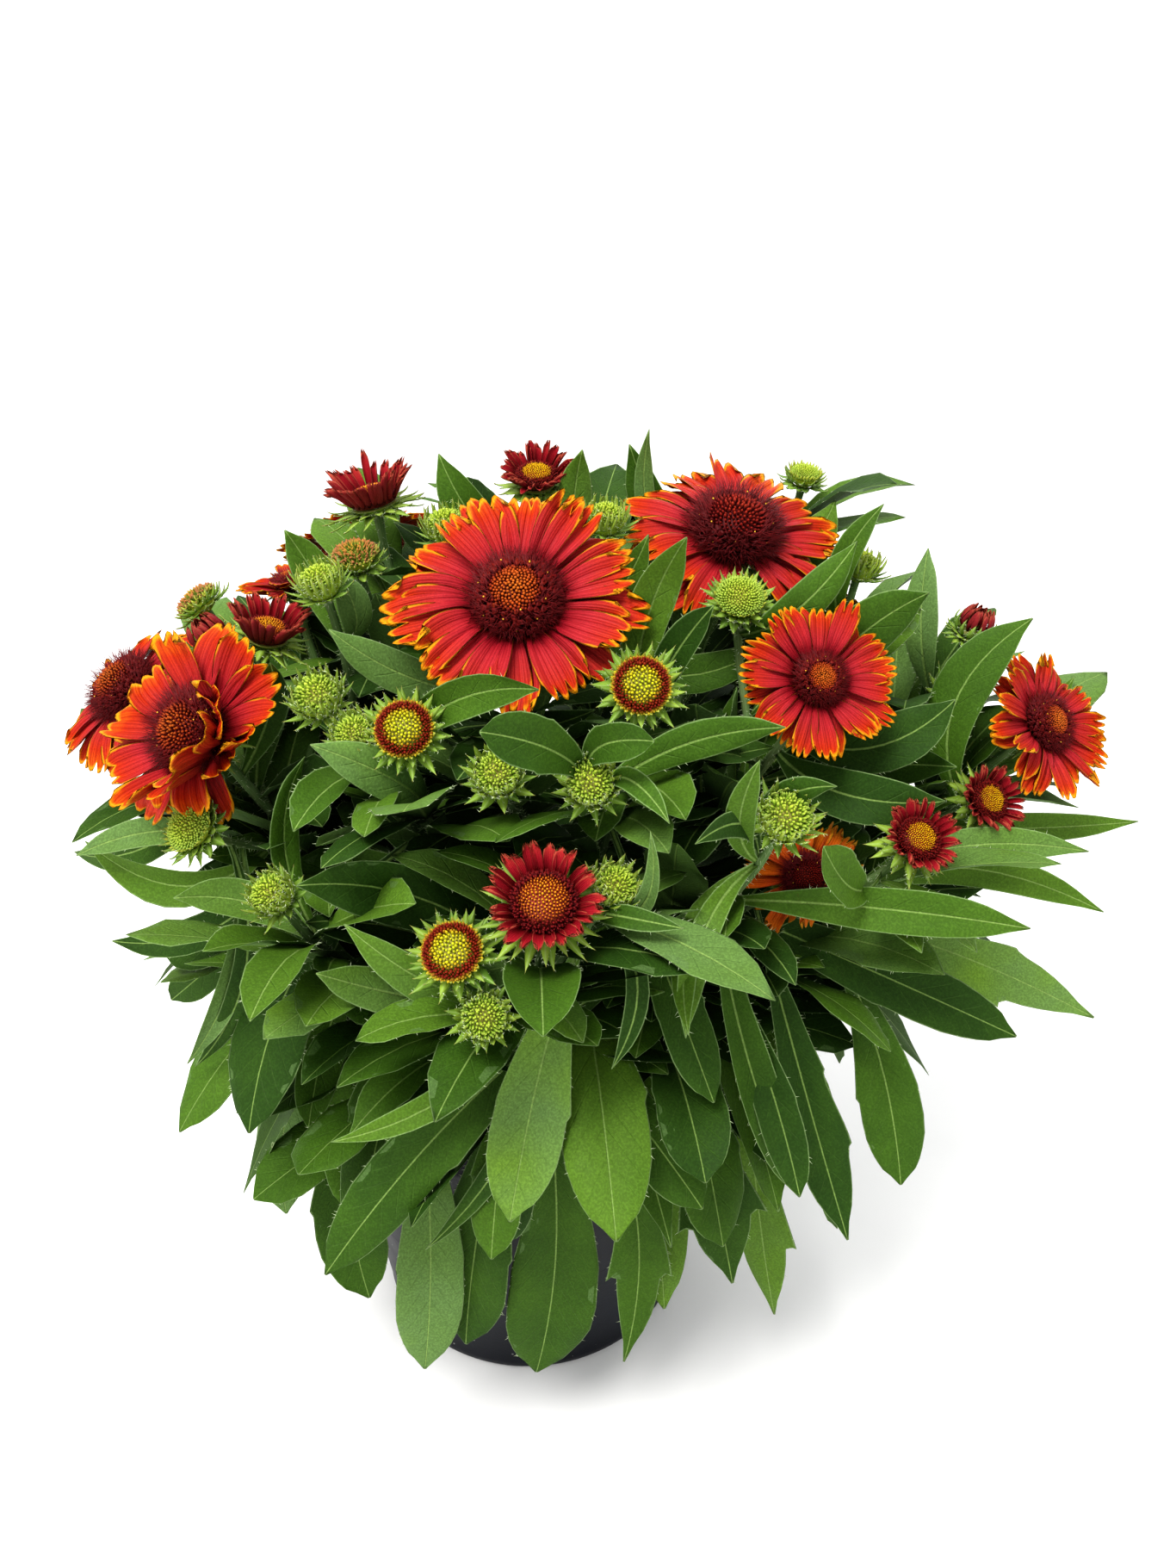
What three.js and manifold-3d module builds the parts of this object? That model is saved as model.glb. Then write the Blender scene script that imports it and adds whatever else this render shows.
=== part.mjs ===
// Blanket flower (Gaillardia) growing in a round plastic nursery pot.
// Millimetres, +Z up. The origin is the middle of the pot's underside, -Y is the front.
import * as THREE from "three";
import Module from "manifold-3d";
import { mergeVertices } from "three/addons/utils/BufferGeometryUtils.js";

const wasm = await Module();
wasm.setup();

// ---- Driving dimensions ----
const gap = 0.3; // clearance between neighbouring pieces
const potHeight = 130;
const potTopRadius = 85;
const potFootRadius = 62;
const potWall = 2;
const potRimHeight = 13;
const potSides = 32;
const drainRadius = 4.5;
const drainRing = 47;
const drainCount = 5;
const soilLevel = 116;
const soilRelief = 2.2;
const holeDepth = 13;
const stemSides = 4;
const stemFootRadius = 2.4;
const bladeThickness = 1.5; // at the midrib, running out to the edge
const footThickness = 1; // of a blade inside its stem
const petalThickness = 1.2;
const mound = { centre: [15, 0, 182], radii: [165, 148, 158] };
const moundLeaves = 84;
const stemLeafSteps = 3;
const viewer = [24, -393, 414]; // the flowers are kept in sight from here
const sightLength = 60;
const leafSeed = 4100;

const colours = {
  pot: 0x1d2126,
  soil: 0x3a2a1f,
  green: 0x3f6b2e,
  petal: 0xd8432a,
  darkPetal: 0x8e1f22,
  disc: 0x5a1a1c,
  youngDisc: 0xb98a1e,
};

// Where each shoot leaves the soil.
const shootFeet = {
  s01: [-40, -3],
  s02: [-29, 10],
  s03: [-33, -22],
  s04: [-16, -5],
  s05: [-17, -27],
  s06: [1, -19],
  s07: [0, 5],
  s08: [17, 3],
  s09: [12, -35],
  s10: [21, -17],
  s11: [30, -35],
  s12: [43, -22],
  s13: [49, -4],
  s14: [33, 4],
  s15: [0, -50],
  s16: [-21, -48],
  s17: [-19, 27],
  s18: [8, 30],
  s19: [35, 27],
};

// Flower heads: name, kind, place, facing, radius, shoot, fork height on the shoot's first stem,
// and how far the petals lift. The first head of a shoot ends the stem out of the soil.
const heads = [
  ["b01", "bloom", [4, -62, 317], [-0.03, -0.7, 0.71], 38, "s06", 0, 0.06],
  ["b02", "bloom", [72, -5, 322], [0.12, -0.5, 0.86], 39, "s08", 0, -0.12],
  ["b03", "bloom", [92, -65, 294], [0.12, -0.8, 0.59], 25, "s10", 0, 0.1],
  ["b04", "bloom", [-94, -62, 276], [-0.42, -0.72, 0.55], 33, "s03", 0, 0.16],
  ["b05", "bloom", [-130, -19, 273], [-0.5, -0.42, 0.76], 31, "s01", 0, -0.16],
  ["b06", "bloom", [175, -30, 266], [0.5, -0.66, 0.56], 26, "s13", 0, 0.1],
  ["g05", "bud", [78, -104, 268], [0.15, -0.7, 0.7], 9.5, "s11", 0],
  ["b07", "bloom", [90, -80, 237], [0.05, -0.9, 0.42], 19, "s11", 0.5, -0.45],
  ["b08", "bloom", [-78, 8, 302], [-0.2, 0.05, 0.98], 20, "s02", 0, 0.16],
  ["b09", "bloom", [-68, 76, 296], [-0.35, 0.6, 0.72], 32, "s17", 0, 0.06],
  ["b10", "bloom", [42, 88, 304], [0.15, 0.65, 0.74], 34, "s18", 0, -0.06],
  ["b11", "bloom", [118, 70, 274], [0.5, 0.5, 0.71], 29, "s19", 0, 0.1],
  ["d01", "semi", [-49, 15, 330], [-0.2, -0.1, 0.97], 16, "s04", 0, 0.5],
  ["d02", "semi", [7, 12, 338], [0.02, -0.4, 0.92], 13, "s07", 0, 0.32],
  ["d03", "semi", [13, -128, 255], [0, -0.72, 0.69], 16, "s15", 0, 0.2],
  ["d04", "semi", [121, -86, 252], [0.2, -0.78, 0.6], 12, "s12", 0, 0.22],
  ["d05", "semi", [154, -47, 246], [0.35, -0.8, 0.48], 12, "s13", 0.62, 0.22],
  ["d06", "semi", [-76, -40, 300], [0.25, -0.15, 0.96], 13, "s02", 0.7, 0.55],
  ["d07", "semi", [-12, 104, 284], [-0.05, 0.75, 0.66], 15, "s17", 0.6, 0.3],
  ["c01", "closed", [154, -10, 292], [0.3, -0.2, 0.93], 8, "s14", 0, 0],
  ["c02", "closed", [-98, -23, 292], [-0.4, -0.3, 0.87], 9, "s03", 0.72, 0],
  ["y01", "button", [39, -88, 301], [0.02, -0.85, 0.52], 12, "s09", 0],
  ["y02", "button", [-26, -93, 290], [0, -0.8, 0.6], 12, "s05", 0],
  ["y03", "button", [71, -41, 312], [0, -0.6, 0.8], 11, "s10", 0.72],
  ["y04", "button", [-51, -15, 318], [-0.1, -0.3, 0.95], 10, "s04", 0.66],
  ["y05", "button", [103, 42, 334], [0.1, -0.3, 0.95], 8, "s08", 0.7],
  ["y06", "button", [-93, -82, 254], [-0.4, -0.6, 0.69], 11, "s03", 0.6],
  ["y07", "button", [-11, -132, 243], [-0.1, -0.65, 0.75], 12, "s15", 0.6],
  ["y08", "button", [-111, 6, 297], [-0.6, 0, 0.8], 10, "s01", 0.66],
  ["y09", "button", [12, 58, 322], [0, 0.3, 0.95], 10, "s18", 0.66],
  ["g01", "bud", [-53, -75, 292], [-0.1, -0.6, 0.79], 9, "s05", 0.7],
  ["g02", "bud", [-40, -89, 286], [-0.2, -0.6, 0.77], 8, "s05", 0.6],
  ["g03", "bud", [0, -104, 281], [0, -0.7, 0.71], 8.5, "s06", 0.5],
  ["g04", "bud", [25, -107, 280], [0, -0.8, 0.6], 8.5, "s09", 0.62],
  ["g06", "bud", [150, -16, 272], [0.3, -0.7, 0.65], 9, "s14", 0.62],
  ["g07", "bud", [31, -118, 254], [0.3, -0.5, 0.81], 8, "s15", 0.66],
  ["g08", "bud", [-22, -6, 325], [-0.1, -0.3, 0.95], 9, "s04", 0.56],
  ["g09", "bud", [-57, -41, 316], [-0.2, -0.3, 0.93], 8.5, "s02", 0.5],
  ["g10", "bud", [30, -16, 330], [0.05, -0.3, 0.95], 8, "s07", 0.6],
  ["g11", "bud", [-3, -138, 227], [0.1, -0.8, 0.59], 8, "s15", 0.45],
  ["g12", "bud", [-63, -108, 246], [-0.3, -0.6, 0.74], 8, "s16", 0],
  ["g13", "bud", [117, 2, 310], [0.2, -0.1, 0.97], 8, "s14", 0.5],
  ["g14", "bud", [-112, 62, 262], [-0.6, 0.4, 0.69], 8.5, "s17", 0.5],
  ["g15", "bud", [82, 108, 262], [0.3, 0.7, 0.65], 8.5, "s18", 0.5],
  ["g16", "bud", [152, 38, 262], [0.6, 0.3, 0.74], 8.5, "s19", 0.6],
];

// Leaves set by hand: a place on the blade near its stem, the tip, width, and outline.
const setLeaves = [
  [[13, -95, 198], [-61, -120, 130], 21, "spoon"],
  [[18, -112, 220], [2, -140, 157], 22, "spoon"],
  [[26, -98, 179], [59, -125, 147], 19, "spoon"],
  [[29, -84, 149], [37, -104, 55], 23, "toothed"],
  [[12, -87, 145], [6, -101, 46], 32, "spoon"],
  [[-4, -86, 150], [-18, -105, 65], 28, "spoon"],
  [[-31, -82, 147], [-33, -98, 57], 24, "spoon"],
  [[0, -100, 169], [-6, -121, 122], 18, "spoon"],
  [[-52, -72, 147], [-54, -88, 68], 26, "spoon"],
  [[58, -80, 158], [73, -105, 94], 30, "toothed"],
  [[80, -62, 150], [94, -78, 48], 24, "toothed"],
  [[85, -80, 195], [107, -115, 124], 25, "toothed"],
  [[117, -70, 178], [130, -90, 123], 21, "spoon"],
  [[74, -95, 193], [88, -125, 152], 14, "spoon"],
  [[58, -85, 161], [68, -112, 118], 24, "spoon"],
  [[73, -70, 214], [161, -95, 176], 19, "spoon"],
  [[117, -50, 200], [201, -55, 166], 25, "toothed"],
  [[91, -85, 231], [156, -97, 231], 15, "lance"],
  [[132, -50, 222], [198, -52, 207], 13, "lance"],
  [[149, -30, 228], [224, -12, 221], 11, "lance"],
  [[123, -60, 231], [183, -52, 235], 12, "lance"],
  [[143, -60, 265], [171, -66, 266], 9, "lance"],
  [[-58, -80, 218], [-80, -110, 163], 25, "spoon"],
  [[-6, -100, 230], [-51, -128, 261], 20, "lance"],
  [[4, -115, 214], [-31, -145, 251], 14, "lance"],
  [[-16, -110, 211], [-47, -134, 238], 13, "lance"],
  [[-100, -60, 220], [-140, -52, 234], 14, "lance"],
  [[-69, -90, 230], [-96, -97, 239], 13, "lance"],
  [[-90, -60, 212], [-133, -62, 202], 13, "lance"],
  [[-91, -50, 200], [-124, -45, 186], 16, "spoon"],
  [[-81, -80, 219], [-99, -95, 176], 9, "lance"],
  [[-120, -20, 223], [-170, 0, 202], 12, "lance"],
  [[-112, -20, 169], [-137, -15, 145], 15, "spoon"],
  [[-55, -75, 192], [-66, -95, 152], 16, "spoon"],
  [[-47, -75, 181], [-51, -103, 121], 25, "spoon"],
  [[-76, -50, 150], [-89, -60, 80], 20, "spoon"],
  [[44, -90, 221], [61, -122, 185], 17, "spoon"],
  [[61, -100, 242], [52, -130, 215], 9, "lance"],
  [[38, -95, 280], [76, -108, 297], 11, "lance"],
  [[73, -95, 252], [107, -106, 276], 12, "lance"],
  [[48, 20, 325], [51, 14, 357], 8, "lance"],
  [[98, 0, 322], [111, 4, 352], 19, "lance"],
  [[104, -10, 314], [121, -6, 334], 10, "lance"],
  [[139, -10, 282], [139, 0, 318], 12, "lance"],
  [[140, -10, 284], [162, 2, 311], 14, "lance"],
  [[143, -35, 275], [166, -31, 303], 18, "lance"],
  [[102, -50, 298], [124, -58, 319], 18, "lance"],
  [[39, -60, 305], [51, -78, 340], 14, "lance"],
  [[46, -75, 300], [58, -88, 324], 11, "lance"],
  [[-56, -20, 305], [-67, -16, 333], 16, "lance"],
  [[-46, -40, 300], [-57, -42, 322], 15, "lance"],
  [[-10, 5, 322], [-25, 6, 348], 15, "lance"],
  [[19, 5, 318], [20, 3, 350], 13, "lance"],
  [[42, 20, 320], [28, 22, 346], 17, "lance"],
  [[-25, -60, 292], [-50, -68, 311], 13, "lance"],
  [[-77, -30, 300], [-93, -33, 322], 12, "lance"],
  [[-75, -55, 278], [-70, -70, 301], 11, "lance"],
  [[-25, -85, 266], [-50, -103, 290], 14, "lance"],
  [[-69, -85, 238], [-61, -97, 282], 10, "lance"],
  [[186, 10, 240], [212, 20, 262], 12, "lance"],
  [[180, 0, 240], [198, 4, 271], 13, "lance"],
  [[104, -60, 270], [134, -64, 288], 18, "lance"],
  [[96, -70, 262], [130, -80, 262], 16, "lance"],
  [[-15, -85, 295], [14, -98, 306], 12, "lance"],
  [[80, -50, 306], [103, -49, 331], 12, "lance"],
];

// Half width along a blade (fraction of length, fraction of half width), from the base.
// A third value moves the edge towards the tip, which makes a tooth.
const outlines = {
  spoon: [[0, 0.05], [0.34, 0.4], [0.6, 0.94], [0.83, 0.88]],
  lance: [[0, 0.06], [0.33, 0.86], [0.66, 0.84]],
  toothed: [[0, 0.05], [0.34, 0.42], [0.5, 0.86, 0.05], [0.55, 0.6], [0.72, 1, 0.05], [0.77, 0.7]],
};

// A blade that would cross its neighbours is turned, lifted or shortened: turn, lift, scale.
const bends = [
  [0, 0, 1], [0.12, 0, 1], [-0.12, 0, 1], [0, 0.12, 1], [0, -0.12, 1],
  [0.22, 0.1, 0.96], [-0.22, 0.1, 0.96], [0.22, -0.12, 0.94], [-0.22, -0.12, 0.94],
  [0, 0.25, 0.92], [0, -0.25, 0.9], [0.38, 0, 0.9], [-0.38, 0, 0.9],
  [0.3, 0.25, 0.85], [-0.3, 0.25, 0.85], [0.3, -0.25, 0.8], [-0.3, -0.25, 0.8],
  [0.55, 0.1, 0.78], [-0.55, 0.1, 0.78], [0, 0.4, 0.75], [0, 0, 0.7],
  [0.5, -0.2, 0.66], [-0.5, -0.2, 0.66], [0, 0.15, 0.55],
];

// ---- Small tools ----
const vec = (a) => new THREE.Vector3(a[0], a[1], a[2]);
const up = new THREE.Vector3(0, 0, 1);

// Repeatable random numbers in 0..1 for one seed.
function randomFrom(seed) {
  let state = seed >>> 0;
  return () => {
    state = (state + 0x6d2b79f5) >>> 0;
    let t = state;
    t = Math.imul(t ^ (t >>> 15), t | 1);
    t ^= t + Math.imul(t ^ (t >>> 7), t | 61);
    return ((t ^ (t >>> 14)) >>> 0) / 4294967296;
  };
}

function solidOf(points, faces) {
  const flat = new Float32Array(points.length * 3);
  points.forEach((p, i) => flat.set([p.x, p.y, p.z], i * 3));
  return new wasm.Manifold(
    new wasm.Mesh({ numProp: 3, vertProperties: flat, triVerts: new Uint32Array(faces.flat()) }),
  );
}

function solidFromGeometry(geometry) {
  const bare = new THREE.BufferGeometry();
  bare.setAttribute("position", geometry.getAttribute("position"));
  bare.setIndex(geometry.index);
  const merged = mergeVertices(bare, 1e-3);
  const position = merged.getAttribute("position");
  const points = [];
  for (let i = 0; i < position.count; i++) {
    points.push(new THREE.Vector3().fromBufferAttribute(position, i));
  }
  const faces = [];
  const index = merged.index.array;
  for (let i = 0; i < index.length; i += 3) {
    const face = [index[i], index[i + 1], index[i + 2]];
    if (new Set(face).size === 3) faces.push(face);
  }
  return solidOf(points, faces);
}

function meshOf(name, solid, colour, roughness) {
  const data = solid.getMesh();
  const count = data.numVert;
  const flat = new Float32Array(count * 3);
  for (let i = 0; i < count; i++) {
    const start = i * data.numProp;
    flat.set(data.vertProperties.subarray(start, start + 3), i * 3);
  }
  const geometry = new THREE.BufferGeometry();
  geometry.setAttribute("position", new THREE.BufferAttribute(flat, 3));
  geometry.setIndex(new THREE.BufferAttribute(data.triVerts, 1));
  geometry.computeVertexNormals();
  const material = new THREE.MeshStandardMaterial({ color: colour, roughness, metalness: 0 });
  const mesh = new THREE.Mesh(geometry, material);
  mesh.name = name;
  return mesh;
}

const cubic = (p, t) => {
  const s = 1 - t;
  return new THREE.Vector3()
    .addScaledVector(p[0], s * s * s)
    .addScaledVector(p[1], 3 * s * s * t)
    .addScaledVector(p[2], 3 * s * t * t)
    .addScaledVector(p[3], t * t * t);
};

const quadratic = (p, t) => {
  const s = 1 - t;
  return new THREE.Vector3()
    .addScaledVector(p[0], s * s)
    .addScaledVector(p[1], 2 * s * t)
    .addScaledVector(p[2], t * t);
};

const quadraticSlope = (p, t) =>
  new THREE.Vector3()
    .addScaledVector(p[1], 2 - 4 * t)
    .addScaledVector(p[0], 2 * t - 2)
    .addScaledVector(p[2], 2 * t)
    .normalize();

// ---- Stems ----
// A tube through the points, open at its far end, its rings kept from twisting by a carried side.
function tube(points, radii) {
  const vertices = [];
  const faces = [];
  let side = new THREE.Vector3(1, 0, 0);
  points.forEach((point, i) => {
    const ahead = points[Math.min(i + 1, points.length - 1)];
    const behind = points[Math.max(i - 1, 0)];
    const along = ahead.clone().sub(behind).normalize();
    side = side.addScaledVector(along, -side.dot(along)).normalize();
    const across = along.clone().cross(side);
    for (let k = 0; k < stemSides; k++) {
      const angle = (k / stemSides) * 2 * Math.PI;
      vertices.push(
        point
          .clone()
          .addScaledVector(side, radii[i] * Math.cos(angle))
          .addScaledVector(across, radii[i] * Math.sin(angle)),
      );
    }
  });
  for (let i = 0; i + 1 < points.length; i++) {
    for (let k = 0; k < stemSides; k++) {
      const a = i * stemSides + k;
      const b = i * stemSides + ((k + 1) % stemSides);
      faces.push([a, b, b + stemSides], [a, b + stemSides, a + stemSides]);
    }
  }
  for (let k = 1; k + 1 < stemSides; k++) faces.push([0, k + 1, k]);
  return { vertices, faces, side };
}

const headRecords = heads.map(([name, kind, place, facing, radius, shoot, fork, lift = 0]) => ({
  name,
  kind,
  place: vec(place),
  facing: vec(facing).normalize(),
  radius,
  shoot,
  fork,
  lift,
}));

// How far below its head a stem ends, inside the green cup.
const cupDepth = { bloom: 4.5, semi: 4, closed: 4, button: 4, bud: 4 };

function mainCurve(head) {
  const [x, y] = shootFeet[head.shoot];
  const start = new THREE.Vector3(x, y, soilLevel + 3);
  const end = head.place.clone().addScaledVector(head.facing, -cupDepth[head.kind]);
  const rise = (end.z - start.z) * 0.42;
  const lean = new THREE.Vector3(end.x - x, end.y - y, 0).multiplyScalar(0.12);
  return [
    start,
    start.clone().add(lean).addScaledVector(up, rise),
    end.clone().addScaledVector(head.facing, -0.3 * rise).addScaledVector(up, -0.35 * rise),
    end,
  ];
}

function forkCurve(head, main) {
  const start = cubic(main, head.fork);
  const along = cubic(main, head.fork + 0.05).sub(start).normalize();
  const end = head.place.clone().addScaledVector(head.facing, -cupDepth[head.kind]);
  const reach = start.distanceTo(end);
  const outward = end.clone().sub(start).setZ(0).normalize();
  return [
    start,
    start.clone().addScaledVector(along, reach * 0.18).addScaledVector(outward, reach * 0.12),
    end.clone().addScaledVector(head.facing, -reach * 0.3),
    end,
  ];
}

// ---- Leaf blades ----
// Each station has a left edge, a right edge and a keel under the midrib.
function bladeSolid(stations, tip) {
  const points = stations.flatMap((s) => [s.left, s.right, s.keel]);
  const faces = [[0, 1, 2]];
  for (let i = 0; i + 1 < stations.length; i++) {
    const [l, r, k] = [i * 3, i * 3 + 1, i * 3 + 2];
    const [ll, rr, kk] = [l + 3, r + 3, k + 3];
    faces.push([l, ll, rr], [l, rr, r]);
    faces.push([l, kk, ll], [l, k, kk], [k, r, kk], [r, rr, kk]);
  }
  const last = (stations.length - 1) * 3;
  const p = points.length;
  points.push(tip);
  faces.push([last, p, last + 1], [last, last + 2, p], [last + 2, last + 1, p]);
  return solidOf(points, faces);
}

// The leaf's blade from one fraction of its length on, fattened by a margin.
function leafSolid(leaf, from, margin) {
  const stations = [];
  for (const [at, width, tooth = 0] of outlines[leaf.outline]) {
    const t = Math.max(at, from);
    if (at < from && stations.length) continue;
    const along = quadraticSlope(leaf.spine, t);
    const across = leaf.side.clone().addScaledVector(along, -leaf.side.dot(along)).normalize();
    const face = across.clone().cross(along);
    const middle = quadratic(leaf.spine, t);
    const half = leaf.width * 0.5 * width + margin;
    const depth = t > 0.3 ? bladeThickness : footThickness;
    const edge = middle
      .clone()
      .addScaledVector(along, tooth * leaf.length)
      .addScaledVector(face, depth * 0.4 + margin);
    stations.push({
      left: edge.clone().addScaledVector(across, half),
      right: edge.clone().addScaledVector(across, -half),
      keel: middle.clone().addScaledVector(face, -depth * 0.6 - margin),
    });
  }
  const end = quadraticSlope(leaf.spine, 1);
  return bladeSolid(stations, leaf.spine[2].clone().addScaledVector(end, margin));
}

// ---- Flower heads ----
// Two axes across a head's facing.
function headAxes(head) {
  const u = up.clone().cross(head.facing);
  if (u.lengthSq() < 1e-4) u.set(1, 0, 0);
  u.normalize();
  return [u, head.facing.clone().cross(u)];
}

// Turns an angle round the head, a distance out and a height along its facing into a point.
function headFrame(head, turn = 0) {
  const [u, v] = headAxes(head);
  return (turned, out, height, aside = 0) => {
    const angle = turned + turn;
    const x = out * Math.cos(angle) - aside * Math.sin(angle);
    const y = out * Math.sin(angle) + aside * Math.cos(angle);
    return head.place
      .clone()
      .addScaledVector(u, x)
      .addScaledVector(v, y)
      .addScaledVector(head.facing, height);
  };
}

// The same with its angles counted from the first side of the stem below.
function onStem(head, stem) {
  const [u, v] = headAxes(head);
  return headFrame(head, Math.atan2(stem.side.dot(v), stem.side.dot(u)));
}

// A turned body with a ring of blades growing out between its lower and upper rows.
// Grown on a stem it has twice as many blades as the stem has sides, and no foot of its own.
function crown(at, count, lower, upper, middle, blade, stem) {
  const points = stem ? [...stem.vertices] : [];
  const faces = stem ? [...stem.faces] : [];
  const stemTop = points.length - stemSides;
  const addRow = ([radius, height]) => {
    const start = points.length;
    for (let i = 0; i < count; i++) points.push(at((i / count) * 2 * Math.PI, radius, height));
    return (i) => start + (i % count);
  };
  const low = lower.map(addRow);
  const high = upper.map(addRow);
  if (stem) {
    for (let k = 0; k < stemSides; k++) {
      const [a, b] = [stemTop + k, stemTop + ((k + 1) % stemSides)];
      const [c, d, e] = [low[0](2 * k), low[0](2 * k + 1), low[0](2 * k + 2)];
      faces.push([a, d, c], [a, b, d], [b, e, d]);
    }
  } else {
    for (let i = 1; i + 1 < count; i++) faces.push([low[0](0), low[0](i + 1), low[0](i)]);
  }
  for (let i = 0; i < count; i++) {
    for (let j = 0; j + 1 < low.length; j++) {
      const [a, b] = [low[j], low[j + 1]];
      faces.push([a(i), a(i + 1), b(i + 1)], [a(i), b(i + 1), b(i)]);
    }
    for (let j = 0; j + 1 < high.length; j++) {
      const [a, b] = [high[j + 1], high[j]];
      faces.push([a(i), b(i), b(i + 1)], [a(i), b(i + 1), a(i + 1)]);
    }
  }
  const inner = high[high.length - 1];
  const crest = points.length;
  points.push(at(0, 0, middle));
  for (let i = 0; i < count; i++) faces.push([crest, inner(i), inner(i + 1)]);

  for (let i = 0; i < count; i++) {
    const angle = ((i + 0.5) / count) * 2 * Math.PI;
    const { ridge, rim } = blade(i);
    const [ta, tb] = [high[0](i), high[0](i + 1)];
    const [ba, bb] = [low[low.length - 1](i), low[low.length - 1](i + 1)];
    if (!ridge) {
      const p = points.length;
      points.push(at(angle, rim[0][0], rim[0][1], rim[0][2]));
      faces.push([ta, p, tb], [ba, bb, p], [p, ta, ba], [p, bb, tb]);
      continue;
    }
    const l = points.length;
    const [out, height, half] = ridge;
    points.push(
      at(angle, out, height, -half),
      at(angle, out, height + petalThickness / 2),
      at(angle, out, height, half),
      at(angle, out, height - petalThickness / 2),
    );
    const [t, r, b] = [l + 1, l + 2, l + 3];
    faces.push([ta, t, tb], [ta, l, t], [tb, t, r], [l, ta, ba], [r, bb, tb]);
    faces.push([ba, bb, b], [ba, b, l], [bb, r, b]);
    const edge = [l, ...rim.map((_, k) => l + 4 + k), r];
    rim.forEach(([o, h, s]) => points.push(at(angle, o, h, s)));
    for (let k = 0; k + 1 < edge.length; k++) {
      faces.push([t, edge[k], edge[k + 1]], [b, edge[k + 1], edge[k]]);
    }
  }
  return solidOf(points, faces);
}

// A rounded heap of florets: every other point of a row stands out.
function floretDome(at, count, rows, crestHeight) {
  const points = [];
  const faces = [];
  rows.forEach(([radius, height, spike], j) => {
    for (let i = 0; i < count; i++) {
      const stands = (i + j) % 2 === 0 ? spike : 0;
      points.push(at((i / count) * 2 * Math.PI, radius + stands, height + stands * 0.7));
    }
  });
  for (let i = 1; i + 1 < count; i++) faces.push([0, i + 1, i]);
  for (let j = 0; j + 1 < rows.length; j++) {
    for (let i = 0; i < count; i++) {
      const [a, b] = [j * count + i, j * count + ((i + 1) % count)];
      faces.push([a, b, b + count], [a, b + count, a + count]);
    }
  }
  const last = (rows.length - 1) * count;
  points.push(at(0, 0, crestHeight));
  for (let i = 0; i < count; i++) {
    faces.push([points.length - 1, last + i, last + ((i + 1) % count)]);
  }
  return solidOf(points, faces);
}

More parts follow.
